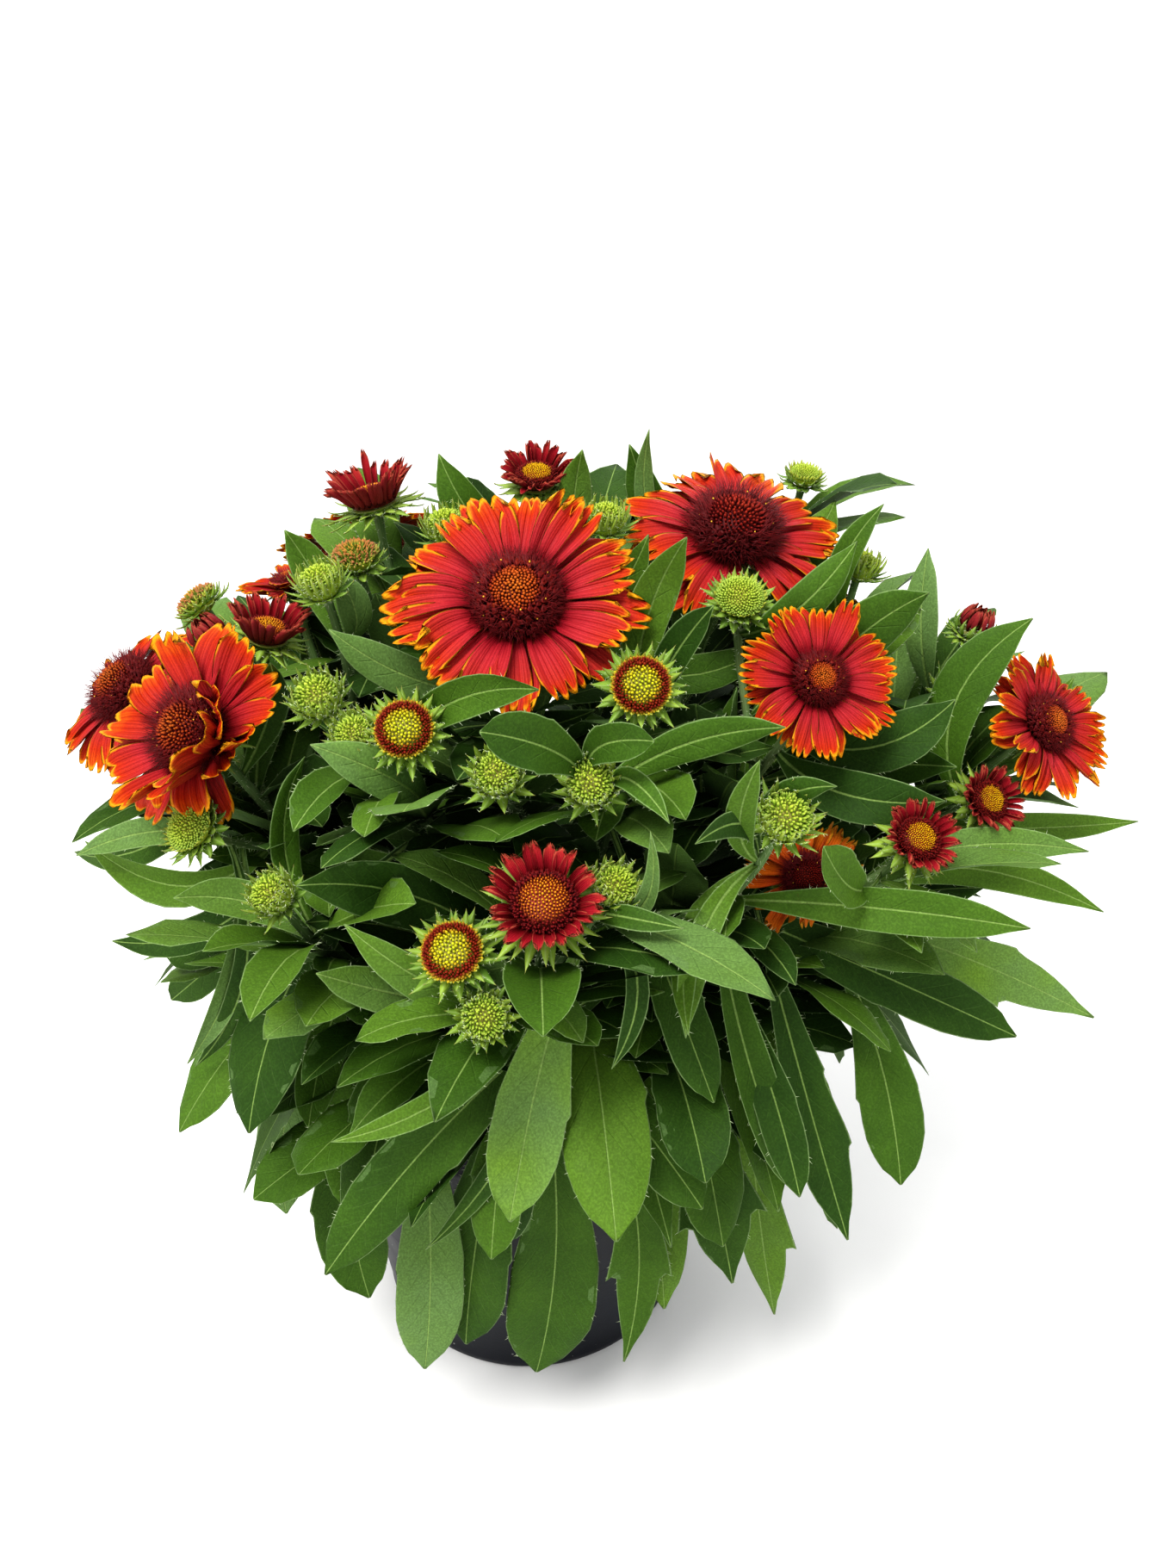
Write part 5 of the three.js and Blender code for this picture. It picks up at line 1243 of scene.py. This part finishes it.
def bladeRing(bundle, head, slot, seed, count, keys, half, outline, **look):
    # blades round a head: keys are points (out, height) in head radii, half is the half width in mm
    look = {**plainRing, **look}
    luck = np.random.default_rng(seed)
    r, axes = head["radius"], headAxes(head)
    keys = np.array(keys, float) * r
    run = runOf(keys)
    rows, columns = look["grid"]
    s = (1 - (1 - np.linspace(0, 1, rows)) ** 1.25)[:, None]
    v = np.linspace(-1, 1, columns)[None, :]
    flat = np.zeros((rows, columns))
    for k in range(count):
        scale = 1 + look["uneven"] * luck.uniform(-1, 0.35)
        rise, sway, twist = [look[key] * luck.normal() * s**power
                             for key, power in (("lift", 1.6), ("sway", 2), ("twist", 1))]
        pick = luck.uniform(*look["luck"])
        roll = math.pi * look["roll"] * luck.uniform(0.6, 1.4)
        pleat = look["pleat"] * luck.uniform(0.7, 1.3)
        wide = luck.uniform(0.88, 1.1)
        angle = look["turn"] + (k + luck.uniform(-0.22, 0.22)) * fullTurn / count
        flop = luck.uniform(-0.3, 0.3)
        if k in look["skip"]:
            continue
        teeth = np.abs(np.cos(1.5 * math.pi * v + 0.15 * flop))
        dent = look["notch"] * luck.uniform(0.5, 1.3) * (1 - teeth) ** 1.7 + 0.06 * v**2
        reach = s * (1 - dent * smooth(0.72, 1, s))
        out, high = [curveThrough(np.stack([run / run[-1], side], 1), reach) for side in keys.T]
        slope = np.gradient(np.stack([out.mean(1), high.mean(1)], 1), axis=0)
        slope /= np.maximum(norm(slope, axis=1, keepdims=True), 1e-9)
        level, steep = slope[:, :1], slope[:, 1:]
        out = keys[0, 0] + (out - keys[0, 0]) * scale
        high = high + rise * r + look["layer"] * (k * 2 % 3 - 1) * smooth(0, 0.3, s)
        across = curveThrough(outline, s) * half * wide
        side = across * np.sin(v * roll) / roll
        raised = across * (1 - np.cos(v * roll)) / roll
        fading = smooth(0.05, 0.3, s) * (1 - 0.5 * smooth(0.8, 1, s))
        raised = raised + pleat * np.cos(3 * math.pi * v) * (1 - 0.4 * v**2) * fading
        cosine, sine = np.cos(twist), np.sin(twist)
        side, raised = side * cosine - raised * sine + sway * r, side * sine + raised * cosine
        x, z = out - steep * raised, high + level * raised
        thin = look["thick"] * (1 - v**4) * smooth(0, 0.12, 1.02 - s)
        c, d = math.cos(angle), math.sin(angle)

        def turned(x, y, z):
            return np.stack([x * c - y * d, x * d + y * c, z], -1) @ axes

        top = turned(x, -side, z) + head["place"]
        under = turned(x + steep * thin, -side, z - level * thin) + head["place"]
        edge = np.minimum((1 - np.abs(v)) * across, (1 - s) * run[-1]) * look["rimScale"]
        last = (v if look["last"] is None else look["last"]) + flat
        tones = [stacked(pick, isUnder, last) for isUnder in (0, 1)]
        way = turned(level * 0.4 + flat, flat - np.sign(v), steep * 0.4 - 0.4 + flat)
        density, length = look["hairs"]
        fur = stacked(density * (np.abs(v) > 0.99) * (s > 0.1), length)
        bundle.add(*shell(top, under), slot,
                   bothSides(stacked(s, v * across, edge)), bothSides(*tones), bothSides(way), bothSides(fur))


def addTurned(bundle, head, slot, profile, sides, tone, hairs=(0, 0)):
    points, faceSets = lathe(profile, sides)
    axes = headAxes(head)
    heights = points[:, 2] - points[:, 2].min()
    outward = unit(points * (1, 1, 0) + (0, 0, 0.001)) @ axes
    mark = stacked(heights / heights.max(), 1, 5)
    bundle.addApart(points @ axes + head["place"], faceSets, slot, mark, tone, outward, hairs)


def dome(radius, base, height, rows):
    # a profile from the foot of a dome to its top
    turns = np.linspace(math.pi / 2, 0, rows)[:-1]
    return [*[(radius * math.sin(a), base + height * math.cos(a)) for a in turns], (0, base + height)]


bractOutline = [(0, 0.8), (0.2, 1), (0.45, 0.85), (0.7, 0.5), (0.9, 0.2), (1, 0.04)]
starOutline = [(0, 0.9), (0.2, 1), (0.42, 0.8), (0.64, 0.46), (0.84, 0.18), (1, 0.03)]
budOutline = [(0, 0.9), (0.3, 1), (0.6, 0.72), (0.85, 0.3), (1, 0.05)]
rayOutline = [(0, 0.34), (0.15, 0.55), (0.4, 0.84), (0.68, 1), (0.86, 0.97), (1, 0.8)]
pointedRayOutline = [(0, 0.55), (0.25, 0.85), (0.55, 1), (0.8, 0.92), (0.93, 0.66), (1, 0.32)]

bractLook = {
    "roll": 0.12, "sway": 0.03, "twist": 0.25, "uneven": 0.2, "lift": 0.04, "luck": (0.1, 0.8),
    "last": 0.0, "thick": 0.35, "hairs": (0.9, 1.0),
}


def addGreens(bundle, head):
    # heights are millimetres here, and so are half widths; the rest is in head radii
    r, lift, kind = head["radius"], head["lift"], head["kind"]
    droop = r * min(lift, 0)

    def cup(foot, profile, sides, tone, hairs):
        rows = [(0, foot[1] - 0.1), foot, *[(out * r, high) for out, high in profile]]
        addTurned(bundle, head, 2, rows, sides, tone, hairs)

    def ring(step, count, keys, half, outline, **look):
        keys = [(out, high / r) for out, high in keys]
        seed = 300 + 20 * head["index"] + step
        bladeRing(bundle, head, 2, seed, count, keys, half, outline, **{**bractLook, **look})

    pale = {"luck": (0.45, 1.1)}
    if kind == "bloom":
        cup((1.9, -4.5), [(0.13, -4), (0.22, -2.6), (0.27, -0.6), (0, -0.3)], 16, (0.4, 0, 0), (0.5, 1.0))
        ring(0, 14, [(0.17, -3.4), (0.33, -2.4), (0.47, -3.4 + 0.275 * droop), (0.58, -5 + 0.55 * droop)],
             1.5, bractOutline)
        ring(1, 14, [(0.2, -2.4), (0.34, -1.4), (0.46, -1.3 + 0.2 * droop), (0.56, -2 + 0.5 * droop)],
             1.6, bractOutline, turn=0.22)
    elif kind in ("semi", "closed"):
        cup((1.5, -4), [(0.26, -3.4), (0.42, -2), (0.5, -0.5), (0, -0.3)], 16, (0.5, 0, 0), (0.6, 1.0))
        ring(0, 13, [(0.36, -3), (0.7, -2.8), (1.0, -3.6), (1.22, -3.6)], 2.2, starOutline, **pale)
        ring(1, 14, [(0.44, -1.7), (0.72, -1.2), (0.95, -0.9), (1.12, 0.3)], 1.7, starOutline,
             turn=0.2, **pale)
        if kind == "closed":
            ring(2, 12, [(0.5, -1.2), (0.78, 0.1 * r), (0.86, 0.4 * r), (0.8, 0.7 * r)],
                 1.5, bractOutline, turn=0.1)
    elif kind == "button":
        crown = [(out / r, high) for out, high in dome(0.58 * r, 0.5, 0.27 * r, 5)]
        cup((1.5, -4), [(0.3, -3.4), (0.5, -1.8), *crown], 18, (0.4, 0, 0.75), (0, 0))
        ring(0, 14, [(0.45, -2.6), (0.72, -2.5), (1.0, -2.4), (1.26, -1.0)], 2.0, starOutline,
             uneven=0.25, twist=0.4, luck=(0.0, 0.6))
        ring(1, 17, [(0.5, -1.4), (0.74, -0.5), (0.9, 0.8), (1.02, 2.6)], 1.4, starOutline,
             turn=0.2, luck=(0.3, 0.9))
        ring(2, 30, [(0.56, 0.2), (0.68, 1.6), (0.76, 3.4)], 0.8, bractOutline,
             grid=(4, 3), last=1.0, hairs=(0, 0), uneven=0.1)
    else:
        cup((1.4, -4), [(0.3, -3.5), (0.56, -2), (0.7, 0.1 * r), (0.6, 0.4 * r), (0, 0.55 * r)],
            18, (0.5, 0, 0.35), (0.7, 1.0))
        ring(0, 13, [(0.42, -0.3 * r), (0.82, -0.22 * r), (1.12, -0.06 * r), (1.38, 0.14 * r)],
             1.6, starOutline, luck=(0.1, 0.8), twist=0.4)
        ring(1, 17, [(0.5, -0.15 * r), (0.8, 0.12 * r), (0.92, 0.45 * r), (1.0, 0.85 * r)],
             1.0, budOutline, grid=(5, 3), turn=0.2, last=0.15, **pale)
        ring(2, 18, [(0.55, 0.05 * r), (0.72, 0.38 * r), (0.72, 0.7 * r), (0.6, 0.95 * r)],
             0.8, budOutline, grid=(5, 3), turn=0.4, last=0.35, **pale)


# How each open head looks: shape is where its rays differ from those of its kind, and the higher their
# luck, the warmer they are; nod is how far the head tips up.
bloomShape = {
    "roll": 0.22, "notch": 0.22, "sway": 0.08, "twist": 0.28, "lift": 0.05, "uneven": 0.18, "layer": 1.2,
    "thick": 0.28,
}
semiShape = {
    "roll": 0.5, "notch": 0.16, "sway": 0.05, "twist": 0.35, "lift": 0.1, "uneven": 0.2, "layer": 0.5,
    "thick": 0.28, "grid": (9, 7),
}
closedShape = {
    "roll": 0.55, "notch": 0.1, "sway": 0.05, "twist": 0.2, "lift": 0.04, "uneven": 0.12, "luck": (0, 0.8),
}
headLooks = {
    "b01": {"rays": 27, "seed": 11, "shape": {"luck": (0.0, 0.6), "lift": 0.045}},
    "b02": {"rays": 24, "seed": 12, "disc": "dark",
            "shape": {"luck": (0.3, 1.0), "lift": 0.07, "uneven": 0.3, "skip": (18, 19)}},
    "b03": {"rays": 23, "seed": 13, "disc": "small", "shape": {"luck": (0.2, 0.8), "lift": 0.1}},
    "b04": {"rays": 16, "seed": 14, "disc": "ember", "half": 0.235, "inner": 14,
            "shape": {"luck": (0.2, 0.9), "lift": 0.16, "uneven": 0.34, "notch": 0.13, "twist": 0.34}},
    "b05": {"rays": 20, "seed": 15, "disc": "ember", "half": 0.21,
            "shape": {"luck": (0.3, 1.0), "lift": 0.12, "notch": 0.16}},
    "b06": {"rays": 24, "seed": 16, "shape": {"luck": (0.2, 0.8), "lift": 0.12}},
    "b07": {"rays": 17, "seed": 17, "disc": "dark", "petal": "withered",
            "shape": {"luck": (0.0, 1.0), "lift": 0.16, "uneven": 0.3, "roll": 0.4, "twist": 0.5}},
    "b08": {"rays": 22, "seed": 18, "shape": {"luck": (0.3, 0.8)}},
    "b09": {"rays": 26, "seed": 19, "shape": {"luck": (0.1, 0.6)}},
    "b10": {"rays": 26, "seed": 20, "shape": {"luck": (0.3, 0.9)}},
    "b11": {"rays": 24, "seed": 21, "shape": {"luck": (0.2, 0.7)}},
    "d01": {"rays": 24, "seed": 31}, "d02": {"rays": 26, "seed": 32, "disc": "sunny"},
    "d03": {"rays": 26, "seed": 33, "nod": 0.22},
    "d04": {"rays": 26, "seed": 34, "disc": "sunny", "nod": 0.2},
    "d05": {"rays": 25, "seed": 35, "disc": "sunny", "nod": 0.16},
    "d06": {"rays": 22, "seed": 36},
    "d07": {"rays": 24, "seed": 37}, "c01": {"rays": 13, "seed": 38}, "c02": {"rays": 14, "seed": 39},
}


farBloom = 40       # blooms farther back than this have rays with fewer faces


def addRays(bundle, head):
    look = headLooks[head["name"]]
    r, lift = head["radius"], head["lift"]

    def ring(step, count, keys, half, outline, **shape):
        bladeRing(bundle, head, 0, look["seed"] * 10 + step, count, keys, half * r, outline, **shape)

    if head["kind"] == "bloom":
        grid = (10, 11) if head["place"][1] > farBloom else (12, 13)
        shape = {**bloomShape, "pleat": 0.02 * r, "rimScale": 38 / r, "grid": grid, **look["shape"]}
        keys = [(0.27, 0.6 / r), (0.44, 0.6 / r + 0.02 + 0.2 * lift), (0.64, 0.05 + 0.45 * lift),
                (0.84, 0.03 + 0.78 * lift), (1.0, lift)]
        half = look.get("half", 0.18)
        ring(0, look["rays"], keys, half, rayOutline, **shape)
        if "inner" in look:
            folded = {**shape, "roll": 0.3, "lift": 0.1, "skip": range(3, 11), "grid": (12, 13)}
            keys = [(0.32, 1 / r), (0.45, 0.2), (0.62, 0.4), (0.76, 0.56), (0.88, 0.66)]
            ring(1, look["inner"], keys, half, rayOutline, **folded)
    elif head["kind"] == "semi":
        tall = lift + 0.2
        keys = [(0.49, 0.5 / r), (0.62, 0.05 + 0.24 * tall), (0.78, 0.05 + 0.56 * tall),
                (0.91, 0.03 + 0.82 * tall), (1.0, tall)]
        ring(0, look["rays"], keys, 0.15, pointedRayOutline, **semiShape)
    else:
        ring(0, look["rays"], [(0.5, 0.1), (0.68, 0.45), (0.6, 0.85), (0.42, 1.12)], 0.17, pointedRayOutline,
             grid=(10, 9), **closedShape)
        ring(1, 8, [(0.3, 0.2), (0.42, 0.6), (0.32, 0.95), (0.15, 1.14)], 0.15, pointedRayOutline,
             grid=(8, 7), turn=0.3, **closedShape)


def makeShape(name, points, faceSets):
    mesh = bpy.data.meshes.new(name)
    mesh.from_pydata(points.tolist(), [], [face for faces in faceSets for face in faces.tolist()])
    mesh.shade_smooth()
    mark = stacked(points[:, 2] / points[:, 2].max(), 0, 0)
    mesh.attributes.new("mark", "FLOAT_VECTOR", "POINT").data.foreach_set("vector", mark.ravel())
    return inScene(name, mesh)


def makeShapes():
    # a shut floret, an open one with five flared lobes, a long bristle, and soil bits
    flared, flaredFaces = lathe([(0.3, 0), (0.66, 1.0), (0, 0.62)], 6)
    flared[6:12:2, :2] *= 1.25
    flared[7:12:2, 2] -= 0.16
    rng = np.random.default_rng(4)
    crumb, crumbFaces = lathe([(0, -0.45), (0.45, -0.3), (0.55, 0.1), (0.3, 0.4), (0, 0.5)], 5)
    crumb += rng.uniform(-0.13, 0.13, crumb.shape) + (0, 0, 0.6)
    chip, chipFaces = lathe([(0, -0.09), (0.5, -0.1), (0.46, 0.1), (0, 0.12)], 6)
    chip = chip * (1.0, 0.42, 1) + rng.uniform(-0.07, 0.07, chip.shape) + (0, 0, 0.2)
    return {
        "shut": makeShape("shutFloret", *lathe([(0.42, 0), (0.5, 0.65), (0, 1.0)], 5)),
        "open": makeShape("openFloret", flared, flaredFaces),
        "bristle": makeShape("bristle", *lathe([(0.065, 0), (0, 1.0)], 3)),
        "crumb": makeShape("crumb", crumb, crumbFaces),
        "chip": makeShape("chip", chip, chipFaces),
    }


shapes = makeShapes()


def growFlorets(piece, head, seed, dome, layers):
    # a dome is its radius, height and base in mm; a layer is its finish, its floret's shape, how many
    # there are, their size in head radii and what else the spiral is given
    for step, (finish, shape, count, size, changed) in enumerate(layers):
        radius, height, base = [side * metre for side in changed.pop("dome", dome)]
        grow(piece, spiralTree, {
            "Shape": shapes[shape], "Finish": finish, "Count": count, "Seed": seed + step,
            "Radius": radius, "Height": height, "Base": base, "Size": size * head["radius"] * metre,
            "Middle": list(head["place"] * metre), "Facing": list(head["facing"]), **changed,
        })


discSizes = {"dark": (0.31, 0.3), "ember": (0.31, 0.27), "small": (0.25, 0.2), None: (0.29, 0.21)}
discBase = 1.4


def discSize(head):
    # the radius and height of the dome that the florets stand on
    sizes = discSizes[headLooks[head["name"]].get("disc")] if head["kind"] == "bloom" else (0.51, 0.22)
    return [size * head["radius"] for size in sizes]


def discFinish(head):
    usual = "amber" if head["kind"] == "semi" else "warm"
    return discSkins.get(headLooks[head["name"]].get("disc"), discSkins[usual])


def addDisc(bundle, head):
    across, high = discSize(head)
    profile = [(0, 0.3), (across * 0.96, 0.3), *dome(across, discBase, high, 7)]
    addTurned(bundle, head, 0, profile, 24, (0.5, 0.7, 0))


def growDisc(piece, head):
    finish = discFinish(head)
    across, high = discSize(head)
    if head["kind"] == "bloom":
        isDark = headLooks[head["name"]].get("disc") in ("dark", "ember")
        inner, shutLong, bristles, bristleLong = (0.6, 2.4, 900, 2.1) if isDark else (0.5, 1.6, 700, 1.8)
        layers = [
            (finish, "shut", 190, 0.026, {"To": inner, "Stretch": shutLong, "Stray": 0.12}),
            (finish, "open", 190, 0.03, {"From": inner, "Stretch": 2.6, "Stray": 0.4}),
            (bristleSkin, "bristle", bristles, 0.1, {
                "dome": (across, high, 1.2), "From": inner - 0.06, "To": 1.04, "Stretch": bristleLong,
                "Stray": 0.6,
            }),
            (pollenSkin, "shut", 16, 0.013, {
                "dome": (across * 1.1, high * 1.3, 2.4), "From": 0.5, "Stretch": 1.0, "Stray": 0.6,
            }),
        ]
    else:
        inner = 0.54 if finish == discSkins["sunny"] else 0.62
        layers = [
            (finish, "shut", 180, 0.058 * inner, {"To": inner, "Stretch": 2.3, "Stray": 0.12}),
            (finish, "shut", 210, 0.046, {"From": inner, "Stretch": 2.2, "Stray": 0.4}),
            (bristleSkin, "bristle", 220, 0.12, {"From": inner, "To": 1.04, "Stretch": 1.3, "Stray": 0.5}),
        ]
    growFlorets(piece, head, headLooks[head["name"]]["seed"], (across, high, discBase), layers)


# the green heads with a ring, and the ragged ones tipped with red
greenLooks = {"y01": "ringed", "y02": "ringed", "y07": "ringed", "y04": "russet", "y08": "russet"}


def growGreenHead(piece, head):
    r = head["radius"]
    look = greenLooks.get(head["name"], "green")
    size, base = (0.28 * r, 0.7) if head["kind"] == "button" else (0.36 * r, 0.26 * r)
    if head["kind"] == "bud":
        count, scale, changed = 180, 0.088, {"Stretch": 2.3, "Stray": 0.4}
    elif look == "russet":
        count, scale, changed = 230, 0.08, {"Stretch": 3.2, "Stray": 0.5, "Wrap": 1.45}
    else:
        count, scale, changed = 360, 0.068, {"Stretch": 1.9, "Stray": 0.2, "Wrap": 1.45}
    growFlorets(piece, head, 50 + head["index"], (0.6 * r, size, base),
                [(discSkins[look], "shut", count, scale, changed)])


for head in heads:
    nod = headLooks.get(head["name"], {}).get("nod", 0)     # an open cup tips up a little on its stem
    head["facing"] = turnedAbout(head["facing"], unit(np.cross(head["facing"], upright)), nod)


foliageFinishes = [leafSkin, stemSkin, bractSkin]
foliageSets = [(1000, leaves, None), (2000, hung, "front"), (3000, fillers, "filler")]
farSide = 70    # leaves beyond this have fewer columns


def makeShoot(name):
    bundle = Bundle()
    for seed, group, kind in foliageSets:
        for number, leaf in enumerate(group):
            if leaf["shoot"] == name:
                own = "back" if leaf["spine"][2][1] > farSide else "front"
                addLeaf(bundle, leaf, seed + number, kind or own)
    ownHeads = [head for head in heads if head["shoot"] == name]
    for head in ownHeads:
        addStem(bundle, head)
        addGreens(bundle, head)
    piece = bundle.makeObject("foliage_" + name, foliageFinishes)
    grow(piece, hairTree, {"Finish": hairSkin, "Seed": 7})
    for head in ownHeads:
        if head["kind"] in ("button", "bud"):
            growGreenHead(piece, head)
    settled(piece)
    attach(piece, "root")
    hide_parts("shoot_" + name)


def makeHead(head):
    name = head["name"]
    young = head["kind"] != "bloom"
    rays = Bundle()
    addRays(rays, head)
    skin = youngSkin if young else witheredSkin if headLooks[name].get("petal") else petalSkin
    piece = rays.makeObject("rays_" + name, [skin])
    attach(piece, "root")
    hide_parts("petals_" + name)
    if head["kind"] == "closed":
        return
    disc = Bundle()
    addDisc(disc, head)
    piece = disc.makeObject("centre_" + name, [discFinish(head)])
    growDisc(piece, head)
    settled(piece)
    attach(piece, "root")
    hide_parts("disc_" + name)


for shoot in shootFeet:
    makeShoot(shoot)
print("foliage grown")
for head in heads:
    if head["kind"] in ("bloom", "semi", "closed"):
        makeHead(head)
print("flowers opened")

pot = {
    "sides": 144,
    "profile": [
        (0, 0.4), (30, 0.4), (56, 0.4), (57, 0), (61, 0), (62, 0.4), (62.8, 1.5), (63.2, 4), (63.1, 6),
        (70.6, 54.6), (70.9, 55), (71.1, 56), (80.6, 114.5), (81, 116.4), (81.6, 117), (84.0, 117.1),
        (84.6, 117.6), (84.75, 120), (84.75, 126.6), (85, 127.4), (85, 129.2), (84.6, 129.8), (83.8, 130),
        (82.9, 129.8), (82.5, 129.2), (82.4, 127), (81, 118), (61.2, 3), (60, 2.2), (30, 2), (0, 2),
    ],
    "holes": 5, "holeRing": 47, "hole": [(0, -3), (4.5, -3), (4.5, 6), (0, 6)], "holeSides": 24,
    "weld": 0.01,
}
soil = {
    "rings": 26, "sides": 120, "radius": 80.2, "relief": 1.1, "bumps": 26, "seed": 8,
    "walls": [(79.8, 112), (62.5, 6), (60.5, 2.6), (30, 2.6), (0.5, 2.6)], "bottom": 2.6,
}
# shape, finish, number to the square metre, smallest and largest size in metres
soilBits = [
    ("crumb", soilSkin, 3.2e4, 0.0014, 0.0042),
    ("chip", barkSkin, 1.1e4, 0.004, 0.012),
    ("crumb", perliteSkin, 5e3, 0.0012, 0.0032),
]


def makeHoleCutter():
    cutters = Bundle()
    for k in range(pot["holes"]):
        turn = (k + 0.5) / pot["holes"] * fullTurn
        points, (fours, threes) = lathe(pot["hole"], pot["holeSides"])
        points += (pot["holeRing"] * math.cos(turn), pot["holeRing"] * math.sin(turn), 0)
        start = cutters.count
        cutters.add(points, fours)
        cutters.addFaces(threes + start)
    return cutters.makeObject("holeCutter", [potSkin])


def makePot():
    bundle = Bundle()
    bundle.addApart(*lathe(pot["profile"], pot["sides"]))
    piece = bundle.makeObject("plasticPot", [potSkin])
    weld = piece.modifiers.new("weld", "WELD")
    weld.merge_threshold = pot["weld"] * metre
    cutter = makeHoleCutter()
    cut = piece.modifiers.new("holes", "BOOLEAN")
    cut.object = cutter
    cut.operation = "DIFFERENCE"
    cut.solver = "EXACT"
    settled(piece)
    bpy.data.objects.remove(cutter)
    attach(piece, "root")
    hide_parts("pot")


def makeSoil():
    luck = np.random.default_rng(soil["seed"])
    turn = np.arange(soil["sides"]) / soil["sides"] * fullTurn
    radius = soil["radius"] * np.linspace(0.02, 1, soil["rings"])[:, None]
    x, y = radius * np.cos(turn), radius * np.sin(turn)
    bumps = np.zeros_like(x)
    for _ in range(soil["bumps"]):
        way, pace, phase = luck.uniform(0, math.pi), luck.uniform(0.12, 0.75), luck.uniform(0, 6.3)
        bumps += np.sin(pace * (x * math.cos(way) + y * math.sin(way)) + phase) / (1 + 3 * pace)
    bumps = soil["relief"] * bumps / np.abs(bumps).max() + luck.uniform(-0.2, 0.2, x.shape)
    top = stacked(x, y, soilLevel + bumps)
    below = [stacked(r * np.cos(turn), r * np.sin(turn), z) for r, z in soil["walls"]]
    grid = np.concatenate([top, below])
    loop = looped(len(grid), soil["sides"])
    points = [*grid.reshape(-1, 3), (0, 0, soilLevel), (0, 0, soil["bottom"])]
    n = len(points)
    bundle = Bundle()
    bundle.add(points, quads(loop)[:, ::-1], tone=(0.5, 0, 0))
    bundle.addFaces(np.array([(n - 2, a, b) for a, b in zip(loop[0], loop[0][1:])]))
    bundle.addFaces(np.array([(n - 1, b, a) for a, b in zip(loop[-1], loop[-1][1:])]))
    piece = bundle.makeObject("pottingSoil", [soilSkin])
    for number, (shape, finish, density, small, large) in enumerate(soilBits):
        grow(piece, scatterTree, {
            "Shape": shapes[shape], "Finish": finish, "Density": density, "Smallest": small, "Largest": large,
            "Seed": 3 + number,
        })
    settled(piece)
    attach(piece, "root")
    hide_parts("soil")


makePot()
makeSoil()
for shape in shapes.values():
    bpy.data.objects.remove(shape)
print("pot filled")

stage = {
    "floor": [
        (0, -0.2), (1400, -0.2), (2200, -0.2), (2700, 50), (3050, 230), (3260, 560), (3350, 1100),
        (3360, 1700),
    ],
    "floorSides": 96, "floorTones": (0.9118, 0.94), "roomLight": 0.86,
}


def makeFloor():
    finish, tree = newFinish("paperFloor", 0.85, 0.2)
    dull, bright = [(tone,) * 3 for tone in stage["floorTones"]]
    colour = blend(tree, speckle(tree, 40, 4), dull, bright)
    fill(tree.nodes["Principled BSDF"], {"Base Color": colour})
    points, faceSets = lathe(stage["floor"], stage["floorSides"])
    bundle = Bundle()
    bundle.addApart(points, [faces[:, ::-1] for faces in faceSets])
    bundle.makeObject("paperFloor", [finish])


def addLight(name, at, aim, size, power, colour=(1, 1, 1)):
    light = bpy.data.lights.new(name, "AREA")
    light.shape = "DISK"
    light.size = size
    light.energy = power
    light.color = colour
    holder = inScene(name, light)
    holder.location = at
    holder.rotation_euler = (Vector(at) - Vector(aim)).to_track_quat("Z", "Y").to_euler()


def lightStage():
    addLight("skyPanel", (-0.5, -0.9, 1.9), (0, 0, 0.2), 0.9, 40, (1, 0.985, 0.96))
    addLight("backPanel", (0.3, 1.5, 1.6), (0, 0, 0.2), 1.2, 10)
    scene = bpy.context.scene
    scene.world = bpy.data.worlds.new("paleRoom")
    scene.world.use_nodes = True
    fill(scene.world.node_tree.nodes["Background"], {0: (1, 1, 1, 1), 1: stage["roomLight"]})
    scene.view_settings.view_transform = "Standard"
    scene.view_settings.look = "Medium High Contrast"


makeFloor()
lightStage()
print("stage lit")
